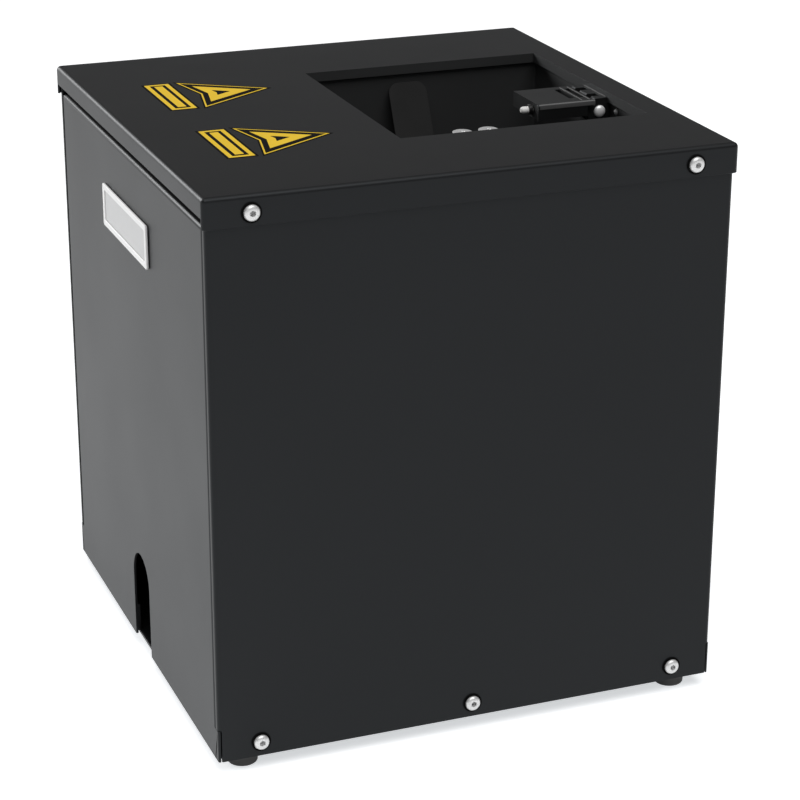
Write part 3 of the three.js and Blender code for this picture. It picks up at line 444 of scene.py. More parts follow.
def case_sizes():
    """The case's sizes in millimetres"""
    settings = bpy.context.scene.flame_case
    return {name: getattr(settings, name) / MM for name in CaseSettings.__annotations__}


# Finishes

def srgb(value):
    """Linear level of an 8-bit grey"""
    share = value / 255
    return share / 12.92 if share <= 0.04045 else ((share + 0.055) / 1.055) ** 2.4


def grey(value, blue=0):
    return srgb(value), srgb(value), srgb(value + blue)


# Name: colour, roughness, metal, mottle (scale, share), smudge (scale, spread), grain (scale, height in mm).
# Scales are per metre, and a colour in words is one of the finish settings.
FINISHES = {
    "case_paint": ("paint", 0.42, 0.0, (9, 0.10), (16, 0.03), (1100, 0.012)),
    "well_paint": ("well", 0.62, 0.0, (14, 0.25), (30, 0.08), (900, 0.02)),
    "satin_steel": (grey(208), 0.45, 0.35, (90, 0.05), (260, 0.06), (2600, 0.003)),
    "guide_iron": (grey(18), 0.75, 0.0, (30, 0.30), (60, 0.08), (900, 0.02)),
    "carrier_paint": (grey(24), 0.42, 0.0, (30, 0.14), (60, 0.06), (1300, 0.012)),
    # Lighter grey of the carrier's front lip: a painted highlight where the rolled lip catches the light
    "worn_edge": (grey(104), 0.42, 0.35, (160, 0.16), (220, 0.08), (1300, 0.012)),
    # Ribs: the carrier's paint in a lighter grey, a painted highlight along each rib
    "rib_paint": (grey(42), 0.5, 0.0, (60, 0.14), (90, 0.06), (1300, 0.012)),
    "pin_steel": (grey(248), 0.34, 0.3, (90, 0.05), (260, 0.05), (2600, 0.002)),
    "burner_iron": (grey(58), 0.5, 0.8, (40, 0.30), (70, 0.12), (700, 0.02)),
    "bright_steel": (grey(206), 0.24, 1.0, (60, 0.05), (200, 0.06), (2600, 0.002)),
    "screw_steel": (grey(232), 0.4, 0.55, (90, 0.05), (260, 0.05), (2600, 0.002)),
    "dark_screw": (grey(52), 0.38, 0.7, (120, 0.10), (260, 0.06), (2400, 0.003)),
    "zinc": (grey(158, 3), 0.38, 0.9, (55, 0.12), (90, 0.08), (600, 0.004)),
    "aluminium": (grey(176), 0.36, 1.0, (20, 0.05), (120, 0.08), (1500, 0.003)),
    "brass": ((0.60, 0.38, 0.13), 0.3, 1.0, (45, 0.10), (130, 0.08), (1400, 0.004)),
    # Black of the rings round the screw heads, a painted shadow
    "washer_black": (grey(8), 0.85, 0.0, (60, 0.15), (110, 0.05), (1500, 0.01)),
    "rubber": (grey(26), 0.82, 0.0, (60, 0.15), (110, 0.05), (1500, 0.03)),
    "ceramic": ((0.86, 0.85, 0.81), 0.22, 0.0, (70, 0.06), (160, 0.05), (900, 0.003)),
    "black_plastic": (grey(30), 0.42, 0.0, (40, 0.10), (130, 0.06), (2200, 0.010)),
    "red_plastic": ((0.46, 0.018, 0.012), 0.36, 0.0, (50, 0.10), (130, 0.05), (2000, 0.006)),
    "plate_rim": ("plate", 0.4, 0.0, (45, 0.03), (140, 0.04), (1800, 0.004)),
    "card": ("card", 0.75, 0.0, (120, 0.04), (150, 0.04), (2600, 0.010)),
    "marker_yellow": ("marker", 0.45, 0.0, (60, 0.08), (160, 0.05), (1800, 0.004)),
    "marker_black": (grey(8), 0.85, 0.0, (60, 0.10), (160, 0.05), (1800, 0.004)),
    "circuit_green": ((0.016, 0.10, 0.04), 0.4, 0.0, (300, 0.25), (200, 0.05), (900, 0.010)),
    "legend_white": (grey(224), 0.5, 0.0, (200, 0.03), (260, 0.04), (2600, 0.002)),
    "display_glass": (grey(20, 4), 0.08, 0.0, (30, 0.05), (40, 0.03), (300, 0.001)),
    "segment_glow": ((0.75, 0.05, 0.03), 0.4, 0.0, (200, 0.05), (260, 0.04), (2600, 0.002)),
}

PLAIN_SHEEN = 0.35
SHEEN = {"case_paint": 0.22, "washer_black": 0.08, "marker_black": 0.08}
COOL_SHEEN = (0.93, 1, 1.05, 1)
COOL_FINISHES = ("case_paint", "well_paint", "carrier_paint")
GLASS_COAT = 0.6
LEAST_ROUGHNESS = 0.02
GRAIN_STRENGTH = 0.5
MOTTLE_DETAIL, SMUDGE_DETAIL, GRAIN_DETAIL = 4, 3, 2
SMOOTH_ANGLE = 35


def finish_named(name):
    """The procedural material of a finish, made the first time that it is asked for"""
    ready = bpy.data.materials.get(name)
    if ready:
        return ready
    colour, roughness, metal, mottle, smudge, grain = FINISHES[name]
    if isinstance(colour, str):
        colour = tuple(getattr(bpy.context.scene.flame_finish, colour))
    material = bpy.data.materials.new(name)
    material.use_nodes = True
    tree = material.node_tree
    shader = tree.nodes["Principled BSDF"]
    shader.inputs["Metallic"].default_value = metal
    shader.inputs["Specular IOR Level"].default_value = SHEEN.get(name, PLAIN_SHEEN)
    if name in COOL_FINISHES:
        shader.inputs["Specular Tint"].default_value = COOL_SHEEN
    if name == "display_glass":
        shader.inputs["Coat Weight"].default_value = GLASS_COAT
    place = tree.nodes.new("ShaderNodeTexCoord").outputs["Object"]

    def noise(scale, detail):
        node = tree.nodes.new("ShaderNodeTexNoise")
        node.inputs["Scale"].default_value = scale
        node.inputs["Detail"].default_value = detail
        tree.links.new(place, node.inputs["Vector"])
        return node.outputs["Fac"]

    scale, share = mottle
    mix = tree.nodes.new("ShaderNodeMix")
    mix.data_type = "RGBA"
    mix.inputs["A"].default_value = (*[level * (1 - share) for level in colour], 1)
    mix.inputs["B"].default_value = (*[min(level * (1 + share), 1) for level in colour], 1)
    tree.links.new(noise(scale, MOTTLE_DETAIL), mix.inputs["Factor"])
    tree.links.new(mix.outputs["Result"], shader.inputs["Base Color"])

    scale, width = smudge
    spread = tree.nodes.new("ShaderNodeMapRange")
    spread.inputs["To Min"].default_value = max(roughness - width, LEAST_ROUGHNESS)
    spread.inputs["To Max"].default_value = min(roughness + width, 1)
    tree.links.new(noise(scale, SMUDGE_DETAIL), spread.inputs["Value"])
    tree.links.new(spread.outputs["Result"], shader.inputs["Roughness"])

    scale, height = grain
    bump = tree.nodes.new("ShaderNodeBump")
    bump.inputs["Strength"].default_value = GRAIN_STRENGTH
    bump.inputs["Distance"].default_value = height * MM
    tree.links.new(noise(scale, GRAIN_DETAIL), bump.inputs["Height"])
    tree.links.new(bump.outputs["Normal"], shader.inputs["Normal"])
    return material


def finish_piece(piece, finish, *nodes, body=None):
    """Smooths the piece, gives it its finish, and lets it ride where its CAD nodes do"""
    activate(piece)
    bpy.ops.object.shade_smooth_by_angle(angle=math.radians(SMOOTH_ANGLE))
    modify(piece, "WEIGHTED_NORMAL", keep_sharp=True)
    piece.data.materials.clear()
    piece.data.materials.append(finish_named(finish))
    if nodes:
        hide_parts(*nodes)
    home = body or (frame["nodes"][nodes[0]]["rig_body"] if nodes else CASE)
    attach(piece, home)
    return piece


def finish_sheet(piece, size, node, finish="case_paint"):
    """Breaks the cut edges of a piece of sheet and finishes it"""
    soften(piece, size["broken_edge"], steps=1)
    finish_piece(piece, finish, node)


def dress(rows):
    """Rounds and finishes CAD nodes, from rows of node, piece name, finish and width of the rounding"""
    for node, name, finish, width in rows:
        finish_piece(refined(node, name, width), finish, node)


# Case

SCREW_HOLE = 2.4
BORE_SIDES = 24
BORE_REACH = 3


def screw_places():
    """[x, z] of the screws in the lid's flange, and of those along the foot of the covers"""
    lid = extent("lid_screw_front_left")[2]
    foot = extent("front_screw_left")[2]
    return [(lid.x, lid.z), (-lid.x, lid.z)], [(foot.x, foot.z), (0, foot.z), (-foot.x, foot.z)]


def bore(place, turn):
    """A cutter for a screw's hole"""
    return put(drum("bore", SCREW_HOLE, -BORE_REACH, BORE_REACH, BORE_SIDES), place, turn)


def bores(places, y):
    """Cutters along Y at each [x, z]"""
    return [bore((x, y, z), FACING_FRONT) for x, z in places]


def side_bores(x):
    """Cutters along X at the right side's two screws"""
    middles = [extent(node)[2] for node in ("right_screw_front", "right_screw_rear")]
    return [bore((x, middle.y, middle.z), FACING_RIGHT) for middle in middles]


def slot_cutters(wall, foot):
    """The round-topped hose slot as two cutters through a wall at the left, up from its foot"""
    middle, half_width, top, sides = 1.5, 15, 61, 64
    outside, inside = 2, 3
    x0, x1 = wall - outside, wall + inside
    spring = top - half_width
    shank = block("slot_foot", (x0, middle - half_width, foot), (x1, middle + half_width, spring))
    head = drum("slot_head", half_width, x0, x1, sides)
    return [shank, put(head, (0, middle, spring), FACING_RIGHT)]


class FLAME_OT_tray(bpy.types.Operator):
    """Adds the base tray with its low wall and the slot in its left side"""
    bl_idname = "flame_machine.tray"
    bl_label = "Add base tray"

    def execute(self, context):
        size = case_sizes()
        bend_share, slot_foot = 0.7, 10.7
        low, high = corners("base_tray")
        tray = block("tray", low, high)
        open_up(tray, lambda c, n: n.z > MOSTLY)
        round_edges(tray, lambda a, b: min(a.z, b.z) < low.z + NEAR, size["case_bend"] * bend_share)
        thicken(tray, size["sheet"])
        foot = screw_places()[1]
        cut(tray, *slot_cutters(low.x, slot_foot), *bores(foot, low.y), *bores(foot, high.y),
            *side_bores(high.x))
        finish_sheet(tray, size, "base_tray")
        return {"FINISHED"}


def cover(name, low, high, size):
    """A cover that faces the front, bent back round its two upright edges and notched at the foot"""
    piece = block(name, low, high)
    open_up(piece, lambda c, n: abs(n.z) > MOSTLY or n.y > MOSTLY)
    front = low.y + NEAR
    round_edges(piece, lambda a, b: upright(a, b) and a.y < front, size["case_bend"], steps=6)
    thicken(piece, size["sheet"])
    notch_width, notch_top, over = 1.8, 25, 1
    for side in (-1, 1):
        edge = side * high.x
        x0, x1 = sorted((edge - side * notch_width, edge + side * over))
        cut(piece, block("notch", (x0, low.y - over, low.z - over), (x1, high.y + over, notch_top)))
    lid, foot = screw_places()
    cut(piece, *bores(lid + foot, low.y))
    return piece


class FLAME_OT_covers(bpy.types.Operator):
    """Adds the front cover, and the rear panel with its connector window and vents"""
    bl_idname = "flame_machine.covers"
    bl_label = "Add covers"

    def execute(self, context):
        size = case_sizes()
        low, high = corners("front_cover")
        finish_sheet(cover("cover_front", low, high, size), size, "front_cover")
        rear = cover("cover_rear", low, high, size)
        put(rear, turn=(0, 0, 180))
        face = -low.y
        self.cut_window(rear, face)
        self.cut_vents(rear, face)
        finish_sheet(rear, size, "rear_panel")
        self.add_rivets(face)
        return {"FINISHED"}

    def opening(self, name, low, high, face, radius):
        """A cutter through the rear panel with its corners rounded, from [x, z] to [x, z]"""
        inward, outward = 3, 1
        cutter = block(name, (low[0], face - inward, low[1]), (high[0], face + outward, high[1]))
        round_edges(cutter, along(Y), radius, steps=5)
        return cutter

    def cut_window(self, rear, face):
        half_width, foot, top = 103, 40, 128
        cut(rear, self.opening("window", (-half_width, foot), (half_width, top), face, radius=2))

    def cut_vents(self, rear, face):
        """Two columns of round-ended slots"""
        half_width, half_height, radius = 22, 1.5, 1.45
        rows, top, pitch = 6, 250, 9
        vent = self.opening("vent", (-half_width, -half_height), (half_width, half_height), face, radius)
        for column in (-46, 46):
            for row in range(rows):
                cut(rear, put(copy_of(vent, "vent_copy"), (column, 0, top - row * pitch)))
        discard(vent)

    def add_rivets(self, face):
        """Painted rivets that hold the connector tray, round its window"""
        profile = [(0, -1), (1.6, -1), (1.6, 0), (2.3, 0), (2.25, 0.35), (1.8, 0.8), (1, 1.05), (0, 1.1)]
        rivet = turned("rivet", profile, sides=40)
        heads = [put(copy_of(rivet, "rivet_copy"), (x, face, z), FACING_BACK)
                 for x in (-106.6, 0, 106.6) for z in (36.4, 131.6)]
        discard(rivet)
        finish_piece(merge(heads, "tray_rivets"), "case_paint")


def side_panel(name, low, high, size):
    """A panel at the left with its upright edges and its top turned in, and a tab at each end of its foot"""
    wall_top = 25.3
    face = low.x + NEAR
    piece = block(name, low, high)
    open_up(piece, lambda c, n: n.z < -MOSTLY or n.x > MOSTLY)
    slice_at(piece, (0, 0, wall_top), (0, 0, 1))
    open_up(piece, lambda c, n: abs(n.y) > MOSTLY and c.z < wall_top)

    def bent(a, b):
        return max(a.x, b.x) < face and max(a.z, b.z) > wall_top + 1

    round_edges(piece, bent, size["lid_bend"], steps=5)
    thicken(piece, size["sheet"])

    behind_cover, overlap, tab_top, corner = 0.2, 2, 24.8, 1
    reach = abs(corners("front_cover")[0].y) - behind_cover
    for side in (-1, 1):
        outer = side * reach
        y0, y1 = sorted((side * (high.y - overlap), outer))
        tab = block("tab", (low.x, y0, low.z), (low.x + size["sheet"], y1, tab_top))
        round_edges(tab, lambda a, b: upright(a, b) and near(a.y, outer) and a.x < face, corner)
        fuse(piece, tab)
    return piece


class FLAME_OT_side_panels(bpy.types.Operator):
    """Adds the left panel with its hose slot, and the right panel"""
    bl_idname = "flame_machine.side_panels"
    bl_label = "Add side panels"

    def execute(self, context):
        size = case_sizes()
        low, high = corners("left_panel")
        below_foot = 5
        left = side_panel("side_left", low, high, size)
        cut(left, *slot_cutters(low.x, low.z - below_foot))
        finish_sheet(left, size, "left_panel")
        right = put(side_panel("side_right", low, high, size), turn=(0, 0, 180))
        cut(right, *side_bores(-low.x))
        finish_sheet(right, size, "right_panel")
        return {"FINISHED"}


WELL_FLANGE = 5


def outlet():
    """Low and high x, and low and high y, of the flame outlet"""
    low, high = corners("burner_well")
    margin = 3.2
    reach = WELL_FLANGE + margin
    return low.x + reach, high.x - reach, low.y + reach, high.y - reach


class FLAME_OT_lid(bpy.types.Operator):
    """Adds the lid with its turned-down flanges and the rim of the flame outlet"""
    bl_idname = "flame_machine.lid"
    bl_label = "Add lid"

    rim_drop = 5
    side_flange = 10

    def execute(self, context):
        size = case_sizes()
        low, high = corners("top_lid")
        lid = block("lid", low, high)
        open_up(lid, lambda c, n: n.z < -MOSTLY)
        self.turn_down_rim(lid, high)
        self.bend_outside(lid, high, size["lid_bend"])
        self.bend_rim(lid, high, size["rim_bend"])
        self.shorten_sides(lid, high)
        thicken(lid, size["sheet"])
        places = screw_places()[0]
        cut(lid, *bores(places, low.y), *bores(places, high.y))
        finish_sheet(lid, size, "top_lid")
        self.coat_rim(high)
        return {"FINISHED"}

    def turn_down_rim(self, lid, high):
        """Cuts the outlet and leaves a rim that hangs down round it"""
        x0, x1, y0, y1 = outlet()
        for x in (x0, x1):
            slice_at(lid, (x, 0, 0), (1, 0, 0))
        for y in (y0, y1):
            slice_at(lid, (0, y, 0), (0, 1, 0))
        push(lid, lambda c, n: n.z > MOSTLY and x0 < c.x < x1 and y0 < c.y < y1, (0, 0, -self.rim_drop))
        open_up(lid, lambda c, n: n.z > MOSTLY and c.z < high.z - self.rim_drop / 2)

    def bend_outside(self, lid, high, radius):
        """Rounds the lid's four top edges and four upright corners"""
        def on_side(point, axis):
            return near(abs(point[axis]), high[axis])

        def outside(a, b):
            if upright(a, b):
                return on_side(a, X) and on_side(a, Y)
            on_top = near(a.z, high.z) and near(b.z, high.z)
            return on_top and any(on_side(a, axis) and near(a[axis], b[axis]) for axis in (X, Y))

        round_edges(lid, outside, radius, steps=5)

    def bend_rim(self, lid, high, radius):
        """Rounds the four top edges of the outlet"""
        x0, x1, y0, y1 = outlet()

        def in_reach(p):
            return near(p.z, high.z) and x0 - NEAR < p.x < x1 + NEAR and y0 - NEAR < p.y < y1 + NEAR

        def on_rim(a, b):
            at_side = any(near(a.x, x) and near(b.x, x) for x in (x0, x1))
            at_end = any(near(a.y, y) and near(b.y, y) for y in (y0, y1))
            return in_reach(a) and in_reach(b) and (at_side or at_end)

        round_edges(lid, on_rim, radius)

    def shorten_sides(self, lid, high):
        """Takes the foot off the flat part of the flanges at the left and right"""
        flat_normal = 0.99
        foot = high.z - self.side_flange
        slice_at(lid, (0, 0, foot), (0, 0, 1))
        open_up(lid, lambda c, n: abs(n.x) > flat_normal and abs(c.x) > high.x - NEAR and c.z < foot)

    def coat_rim(self, high):
        """Heat-proof paint on the inner faces of the outlet's rim, up to just under its edge"""
        x0, x1, y0, y1 = outlet()
        coat, bare_edge, over = 0.12, 0.25, 1
        foot = high.z - self.rim_drop
        rim = block("outlet_rim", (x0, y0, foot), (x1, y1, high.z - bare_edge))
        opening = block("opening", (x0 + coat, y0 + coat, foot - over), (x1 - coat, y1 - coat, high.z + over))
        cut(rim, opening)
        finish_piece(rim, "well_paint")


class FLAME_OT_feet(bpy.types.Operator):
    """Adds the four rubber feet, each with a screw recess in its underside"""
    bl_idname = "flame_machine.feet"
    bl_label = "Add feet"

    def execute(self, context):
        foot = turned("foot", [
            (0, 3.4), (2.6, 3.4), (2.9, 3.1), (2.9, 0.5), (3.4, 0), (6.6, 0), (7.2, 0.15), (7.55, 0.6),
            (7.65, 1.6), (7.9, 6.6), (8, 7.0), (8, 7.7), (0, 7.7),
        ], sides=56)
        for place in ("front_left", "front_right", "rear_left", "rear_right"):
            middle = extent("foot_" + place)[2]
            piece = put(copy_of(foot, "rubber_" + place), (middle.x, middle.y, 0))
            finish_piece(piece, "rubber", "foot_" + place)
        discard(foot)
        return {"FINISHED"}


HEAD_RADIUS = 3.9
SCREW_SIDES = 56


def button_screw(height):
    """A button-head screw that faces up, with its hexagon socket and its shank below"""
    socket_radius, socket_floor, over = 1.6, -1.2, 1
    piece = turned("screw", [
        (0, -8), (1.7, -8), (2, -7.6), (2, 0), (HEAD_RADIUS - 0.25, 0), (HEAD_RADIUS, 0.2),
        (HEAD_RADIUS, height * 0.3), (HEAD_RADIUS * 0.95, height * 0.58), (HEAD_RADIUS * 0.82, height * 0.82),
        (HEAD_RADIUS * 0.58, height), (0, height),
    ], SCREW_SIDES)
    return cut(piece, drum("socket", socket_radius, socket_floor, height + over, sides=6))


def washer(name, place, turn):
    """A thin black ring round a screw's head, a painted shadow round the head"""
    profile = [(3.95, 0), (4.9, 0), (4.9, 0.25), (4.75, 0.4), (3.95, 0.4), (3.95, 0)]
    return finish_piece(put(turned(name, profile, SCREW_SIDES), place, turn), "washer_black")


class FLAME_OT_screws(bpy.types.Operator):
    """Adds the button-head screws of the lid, the covers and the right side"""
    bl_idname = "flame_machine.screws"
    bl_label = "Add screws"

    def execute(self, context):
        height, low_height = 2.2, 1.2
        bright = button_screw(height)
        for side, turn in (("front", FACING_FRONT), ("rear", FACING_BACK)):
            for node in ("lid_screw_" + side + "_left", "lid_screw_" + side + "_right",
                         side + "_screw_left", side + "_screw_middle", side + "_screw_right"):
                low, high, middle = extent(node)
                y = low.y + height if side == "front" else high.y - height
                place = (middle.x, y, middle.z)
                finish_piece(put(copy_of(bright, "head_" + node), place, turn), "screw_steel", node)
                # A black ring round each head as a painted shadow
                washer("washer_" + node, place, turn)
        dark = button_screw(low_height)
        for node in ("right_screw_front", "right_screw_rear"):
            low, high, middle = extent(node)
            place = (high.x - low_height, middle.y, middle.z)
            finish_piece(put(copy_of(dark, "head_" + node), place, FACING_RIGHT), "dark_screw", node)
        discard(bright)
        discard(dark)
        return {"FINISHED"}


class FLAME_OT_address_plate(bpy.types.Operator):
    """Adds the address plate's rim and its bare card"""
    bl_idname = "flame_machine.address_plate"
    bl_label = "Add address plate"

    def execute(self, context):
        gap, over = 0.3, 1
        low, high = corners("address_frame")
        card_low, card_high = corners("address_card")
        rim = block("plate_rim", low, high)
        round_edges(rim, along(X), radius=1.6, steps=5)
        hole = block("hole", (low.x - over, card_low.y - gap, card_low.z - gap),
                     (high.x + over, card_high.y + gap, card_high.z + gap))
        round_edges(hole, along(X), radius=0.8)
        cut(rim, hole)
        soften(rim, width=0.35, steps=3)
        finish_piece(rim, "plate_rim", "address_frame")
        card = block("plate_card", card_low, card_high)
        round_edges(card, along(X), radius=0.6, steps=3)
        soften(card, width=0.12, steps=1)
        finish_piece(card, "card", "address_card")
        return {"FINISHED"}


def shrunk(outline, share, middle):
    return [(middle[X] + (x - middle[X]) * share, middle[Y] + (y - middle[Y]) * share) for x, y in outline]


def oblong(x0, y0, x1, y1):
    return [(x0, y0), (x1, y0), (x1, y1), (x0, y1)]


class FLAME_OT_markers(bpy.types.Operator):
    """Adds the two direction markers on the lid, each a framed bar and a notched arrow towards the outlet"""
    bl_idname = "flame_machine.markers"
    bl_label = "Add direction markers"

    bar_left, bar_right = -103, -90
    arrow_tail, arrow_notch, arrow_heart, arrow_tip = -85.5, -80, -69.5, -44
    layer = 0.04
    # Inset of the bar and share of the arrow in each layer from the lid up, black and yellow in turn
    layers = ((-1.3, 1.09), (0, 1), (2.4, 0.92), (4.3, 0.64), (None, 0.2))

    def execute(self, context):
        self.add_marker("rear", 20.5, 73.5)
        self.add_marker("front", -74.5, -24)
        return {"FINISHED"}

    def add_marker(self, name, y0, y1):
        """A marker of thin layers, from its low to its high y"""
        top = corners("top_lid")[1].z
        tail, notch, middle = self.arrow_tail, self.arrow_notch, (y0 + y1) / 2
        arrow = [(tail, y0), (notch, middle), (tail, y1), (self.arrow_tip, middle)]
        heart = (self.arrow_heart, middle)
        blacks, yellows = [], []
        for step, (edge, share) in enumerate(self.layers):
            outlines = [shrunk(arrow, share, heart)]
            if edge is not None:
                bar = oblong(self.bar_left + edge, y0 + edge, self.bar_right - edge, y1 - edge)
                outlines.insert(0, bar)
            low = top + self.layer * step
            pieces = yellows if step % 2 else blacks
            pieces += [flat_shape("plate", outline, low, low + self.layer) for outline in outlines]
        finish_piece(merge(blacks, "marker_" + name + "_black"), "marker_black")
        finish_piece(merge(yellows, "marker_" + name + "_yellow"), "marker_yellow")


# Burner well

def pan(name, low, high, depth, sheet, bend):
    """An open pan that faces up: a flange round a pressed-down floor, with its top at height 0"""
    edge = WELL_FLANGE + sheet
    piece = flat_sheet(name, low, high)
    choose_faces(piece, lambda c, n: True)
    bpy.ops.mesh.inset(thickness=edge * MM, depth=0)
    leave_edit()
    x0, y0, x1, y1 = low[X] + edge, low[Y] + edge, high[X] - edge, high[Y] - edge

    def inside(point):
        return x0 - NEAR < point.x < x1 + NEAR and y0 - NEAR < point.y < y1 + NEAR

    def bent(a, b):
        on_floor = max(a.z, b.z) < -depth + NEAR
        on_mouth = min(a.z, b.z) > -NEAR and inside(a) and inside(b)
        on_wall = upright(a, b) and abs(a.z - b.z) > 1
        return on_floor or on_mouth or on_wall

    middle_x, middle_y = (x0 + x1) / 2, (y0 + y1) / 2
    push(piece, lambda c, n: abs(c.x - middle_x) < 1 and abs(c.y - middle_y) < 1, (0, 0, -depth))
    round_edges(piece, bent, bend)
    thicken(piece, sheet)
    return piece


class FLAME_OT_well(bpy.types.Operator):
    """Adds the burner well with its flange, drains and riser hole"""
    bl_idname = "flame_machine.well"
    bl_label = "Add burner well"

    def execute(self, context):
        size = case_sizes()
        low, high = corners("burner_well")
        bend, riser_hole, drain, drain_inset, reach = 1.4, 7.3, 4, 16, 3
        depth = high.z - low.z - size["sheet"]
        well = put(pan("well", low.xy, high.xy, depth, size["sheet"], bend), (0, 0, high.z))
        middle = extent("burner_block")[2]
        holes = [put(drum("hole", riser_hole, -reach, reach, sides=40), (middle.x, middle.y, low.z))]
        inset = WELL_FLANGE + drain_inset
        for x in (low.x + inset, high.x - inset):
            holes.append(put(drum("hole", drain, -reach, reach, sides=32), (x, 0, low.z)))
        cut(well, *holes)
        finish_sheet(well, size, "burner_well", "well_paint")
        self.add_rivet(high.x - WELL_FLANGE - size["sheet"])
        return {"FINISHED"}

    def add_rivet(self, wall):
        """The rivet that shows at the hinge, on the well's right wall"""
        y, z = -30.6, 285.2
        profile = [(0, 0), (1.7, 0), (1.6, 0.45), (1.3, 0.85), (0.7, 1.15), (0, 1.25)]
        rivet = put(turned("rivet", profile, sides=40), (wall, y, z), FACING_LEFT)
        finish_piece(rivet, "screw_steel")


class FLAME_OT_burner(bpy.types.Operator):
    """Adds the burner block, its two nozzle caps and the leaning air guide behind them"""
    bl_idname = "flame_machine.burner"
    bl_label = "Add burner"

    def execute(self, context):
        low, high, middle = extent("burner_block")
        base, shoulder, top = low.z, low.z + 30, high.z
        body = turned("burner", [
            (0, base), (23.2, base), (24, base + 0.8), (24, base + 9), (23.2, base + 9.8), (23.2, base + 13),
            (24, base + 13.8), (24, shoulder - 0.8), (23.2, shoulder), (18.9, shoulder + 7.4),
            (18.3, shoulder + 9), (18.3, top - 5), (17.6, top - 4.4), (17.6, top - 2.6), (18.3, top - 2),
            (18.3, top - 0.6), (17.7, top), (0, top),
        ], sides=72)
        put(body, (middle.x, middle.y, 0))
        finish_piece(body, "burner_iron", "burner_block")
        for side in ("left", "right"):
            self.add_cap(side)
        finish_piece(refined("air_guide", "guide", width=0.25), "guide_iron", "air_guide")
        return {"FINISHED"}

    def add_cap(self, side):
        """A nozzle cap with a groove round it and a bore in its top"""
        node = "nozzle_cap_" + side
        low, high, middle = extent(node)
        cap = turned("cap_" + side, [
            (0, low.z), (5.1, low.z), (5.3, low.z + 0.2), (5.3, low.z + 3), (4.9, low.z + 3.4),
            (4.9, low.z + 4.2), (5.3, low.z + 4.6), (5.3, high.z - 0.5), (5.15, high.z - 0.15), (4.8, high.z),
            (1.3, high.z), (0.9, high.z - 0.4), (0.7, high.z - 1.2), (0.7, high.z - 9), (0, high.z - 9),
        ], sides=56)
        put(cap, (middle.x, middle.y, 0))
        finish_piece(cap, "satin_steel", node)


def bead(name, low, high, finish, body):
    """A slim rounded rib"""
    rounding_share = 0.45
    piece = block(name, low, high)
    soften(piece, min(b - a for a, b in zip(low, high)) * rounding_share, steps=4)
    return finish_piece(piece, finish, body=body)


class FLAME_OT_carrier(bpy.types.Operator):
    """Adds the hinge bracket, its pin and the electrode carrier that swings on it"""
    bl_idname = "flame_machine.carrier"
    bl_label = "Add electrode carrier"

    def execute(self, context):
        arm = frame["nodes"]["electrode_carrier"]["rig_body"]
        bracket = refined("hinge_bracket", "bracket", width=0.35, steps=3)
        finish_piece(bracket, "carrier_paint", "hinge_bracket")
        self.add_carrier(arm)
        low, high = corners("hinge_bracket")
        self.add_rib("leaf_rib", high.x - 2.4, low.y + 1.2, high.y - 1.2, high.z, CASE)
        self.add_pin()
        self.add_electrode(arm)
        return {"FINISHED"}

    def add_rib(self, name, x, y0, y1, top, body):
        """A rib along Y that stands out a little above a plate's top, in a lighter grey that is a painted
        highlight
        """
        width, sink, rise = 1.1, 0.5, 0.3
        bead(name, (x, y0, top - sink), (x + width, y1, top + rise), "rib_paint", body)

    def add_carrier(self, arm):
        """The swinging plate with a second slot, a lip along its front in a lighter grey that is a painted
        highlight, and two ribs by the hinge whose lighter grey is also a painted highlight
        """
        pin_to_plate = 5.2
        low, high = corners("electrode_carrier")
        top, front, plate_end = high.z, low.y, extent("hinge_pin")[2].x - pin_to_plate

        def in_front_on_top(a, b):
            return all(near(p.z, top) and near(p.y, front) for p in (a, b))

        carrier = refined("electrode_carrier", "carrier", width=0)
        slot_low, slot_high = (plate_end - 3.9, front + 8, top - 2.5), (plate_end - 1.3, high.y - 5, top + 1)
        cut(carrier, block("slot", slot_low, slot_high))
        round_edges(carrier, in_front_on_top, radius=1.35, steps=6)
        soften(carrier, width=0.4, steps=3)
        finish_piece(carrier, "carrier_paint", "electrode_carrier")
        # The lip along the carrier's front, in a lighter grey as a painted highlight
        bead("lip", (low.x + 0.6, front - 0.25, top - 2.9), (plate_end + 1.5, front + 1.3, top + 0.12),
             "worn_edge", arm)
        for name, from_end in (("middle_rib", 5.5), ("tail_rib", 1.1)):
            self.add_rib(name, plate_end - from_end, front + 2, high.y - 1.5, top, arm)

    def add_pin(self):
        """The hinge pin with its domed head in front"""
        low, high, middle = extent("hinge_pin")
        shank, head, dome, steps = 1.8, 3.2, 1.8, 8
        length = high.y - low.y
        neck = length - dome
        quarter = [step * math.pi / 2 / steps for step in range(steps)]
        rounded = [(head * math.cos(angle), neck + dome * math.sin(angle)) for angle in quarter]
        pin = turned("pin", [(0, 0), (shank - 0.3, 0), (shank, 0.3), (shank, neck), *rounded, (0, length)])
        finish_piece(put(pin, (middle.x, high.y, middle.z), FACING_FRONT), "pin_steel", "hinge_pin")

    def add_electrode(self, arm):
        """The ceramic tip, and the collar where it leaves the carrier"""
        low, high, middle = extent("electrode_ceramic")
        length = high.x - low.x
        tip = turned("ceramic", [
            (0, 0), (2.3, 0), (2.3, length - 7.4), (1.8, length - 6.6), (1.8, length - 3.8),
            (1.65, length - 3.6), (1.65, length - 3.2), (1.8, length - 3), (1.8, length - 1.1),
            (1.5, length - 0.4), (1, length), (0, length),
        ])
        finish_piece(put(tip, (high.x, middle.y, middle.z), FACING_LEFT), "ceramic", "electrode_ceramic")
        collar = turned("collar", [
            (1.9, 0.2), (2.5, 0.2), (2.7, 0.4), (2.7, 1.8), (2.5, 2), (1.9, 2), (1.9, 0.2),
        ])
        put(collar, (corners("electrode_carrier")[0].x, middle.y, middle.z), FACING_LEFT)
        finish_piece(collar, "dark_screw", body=arm)


# Gas line and electrical side

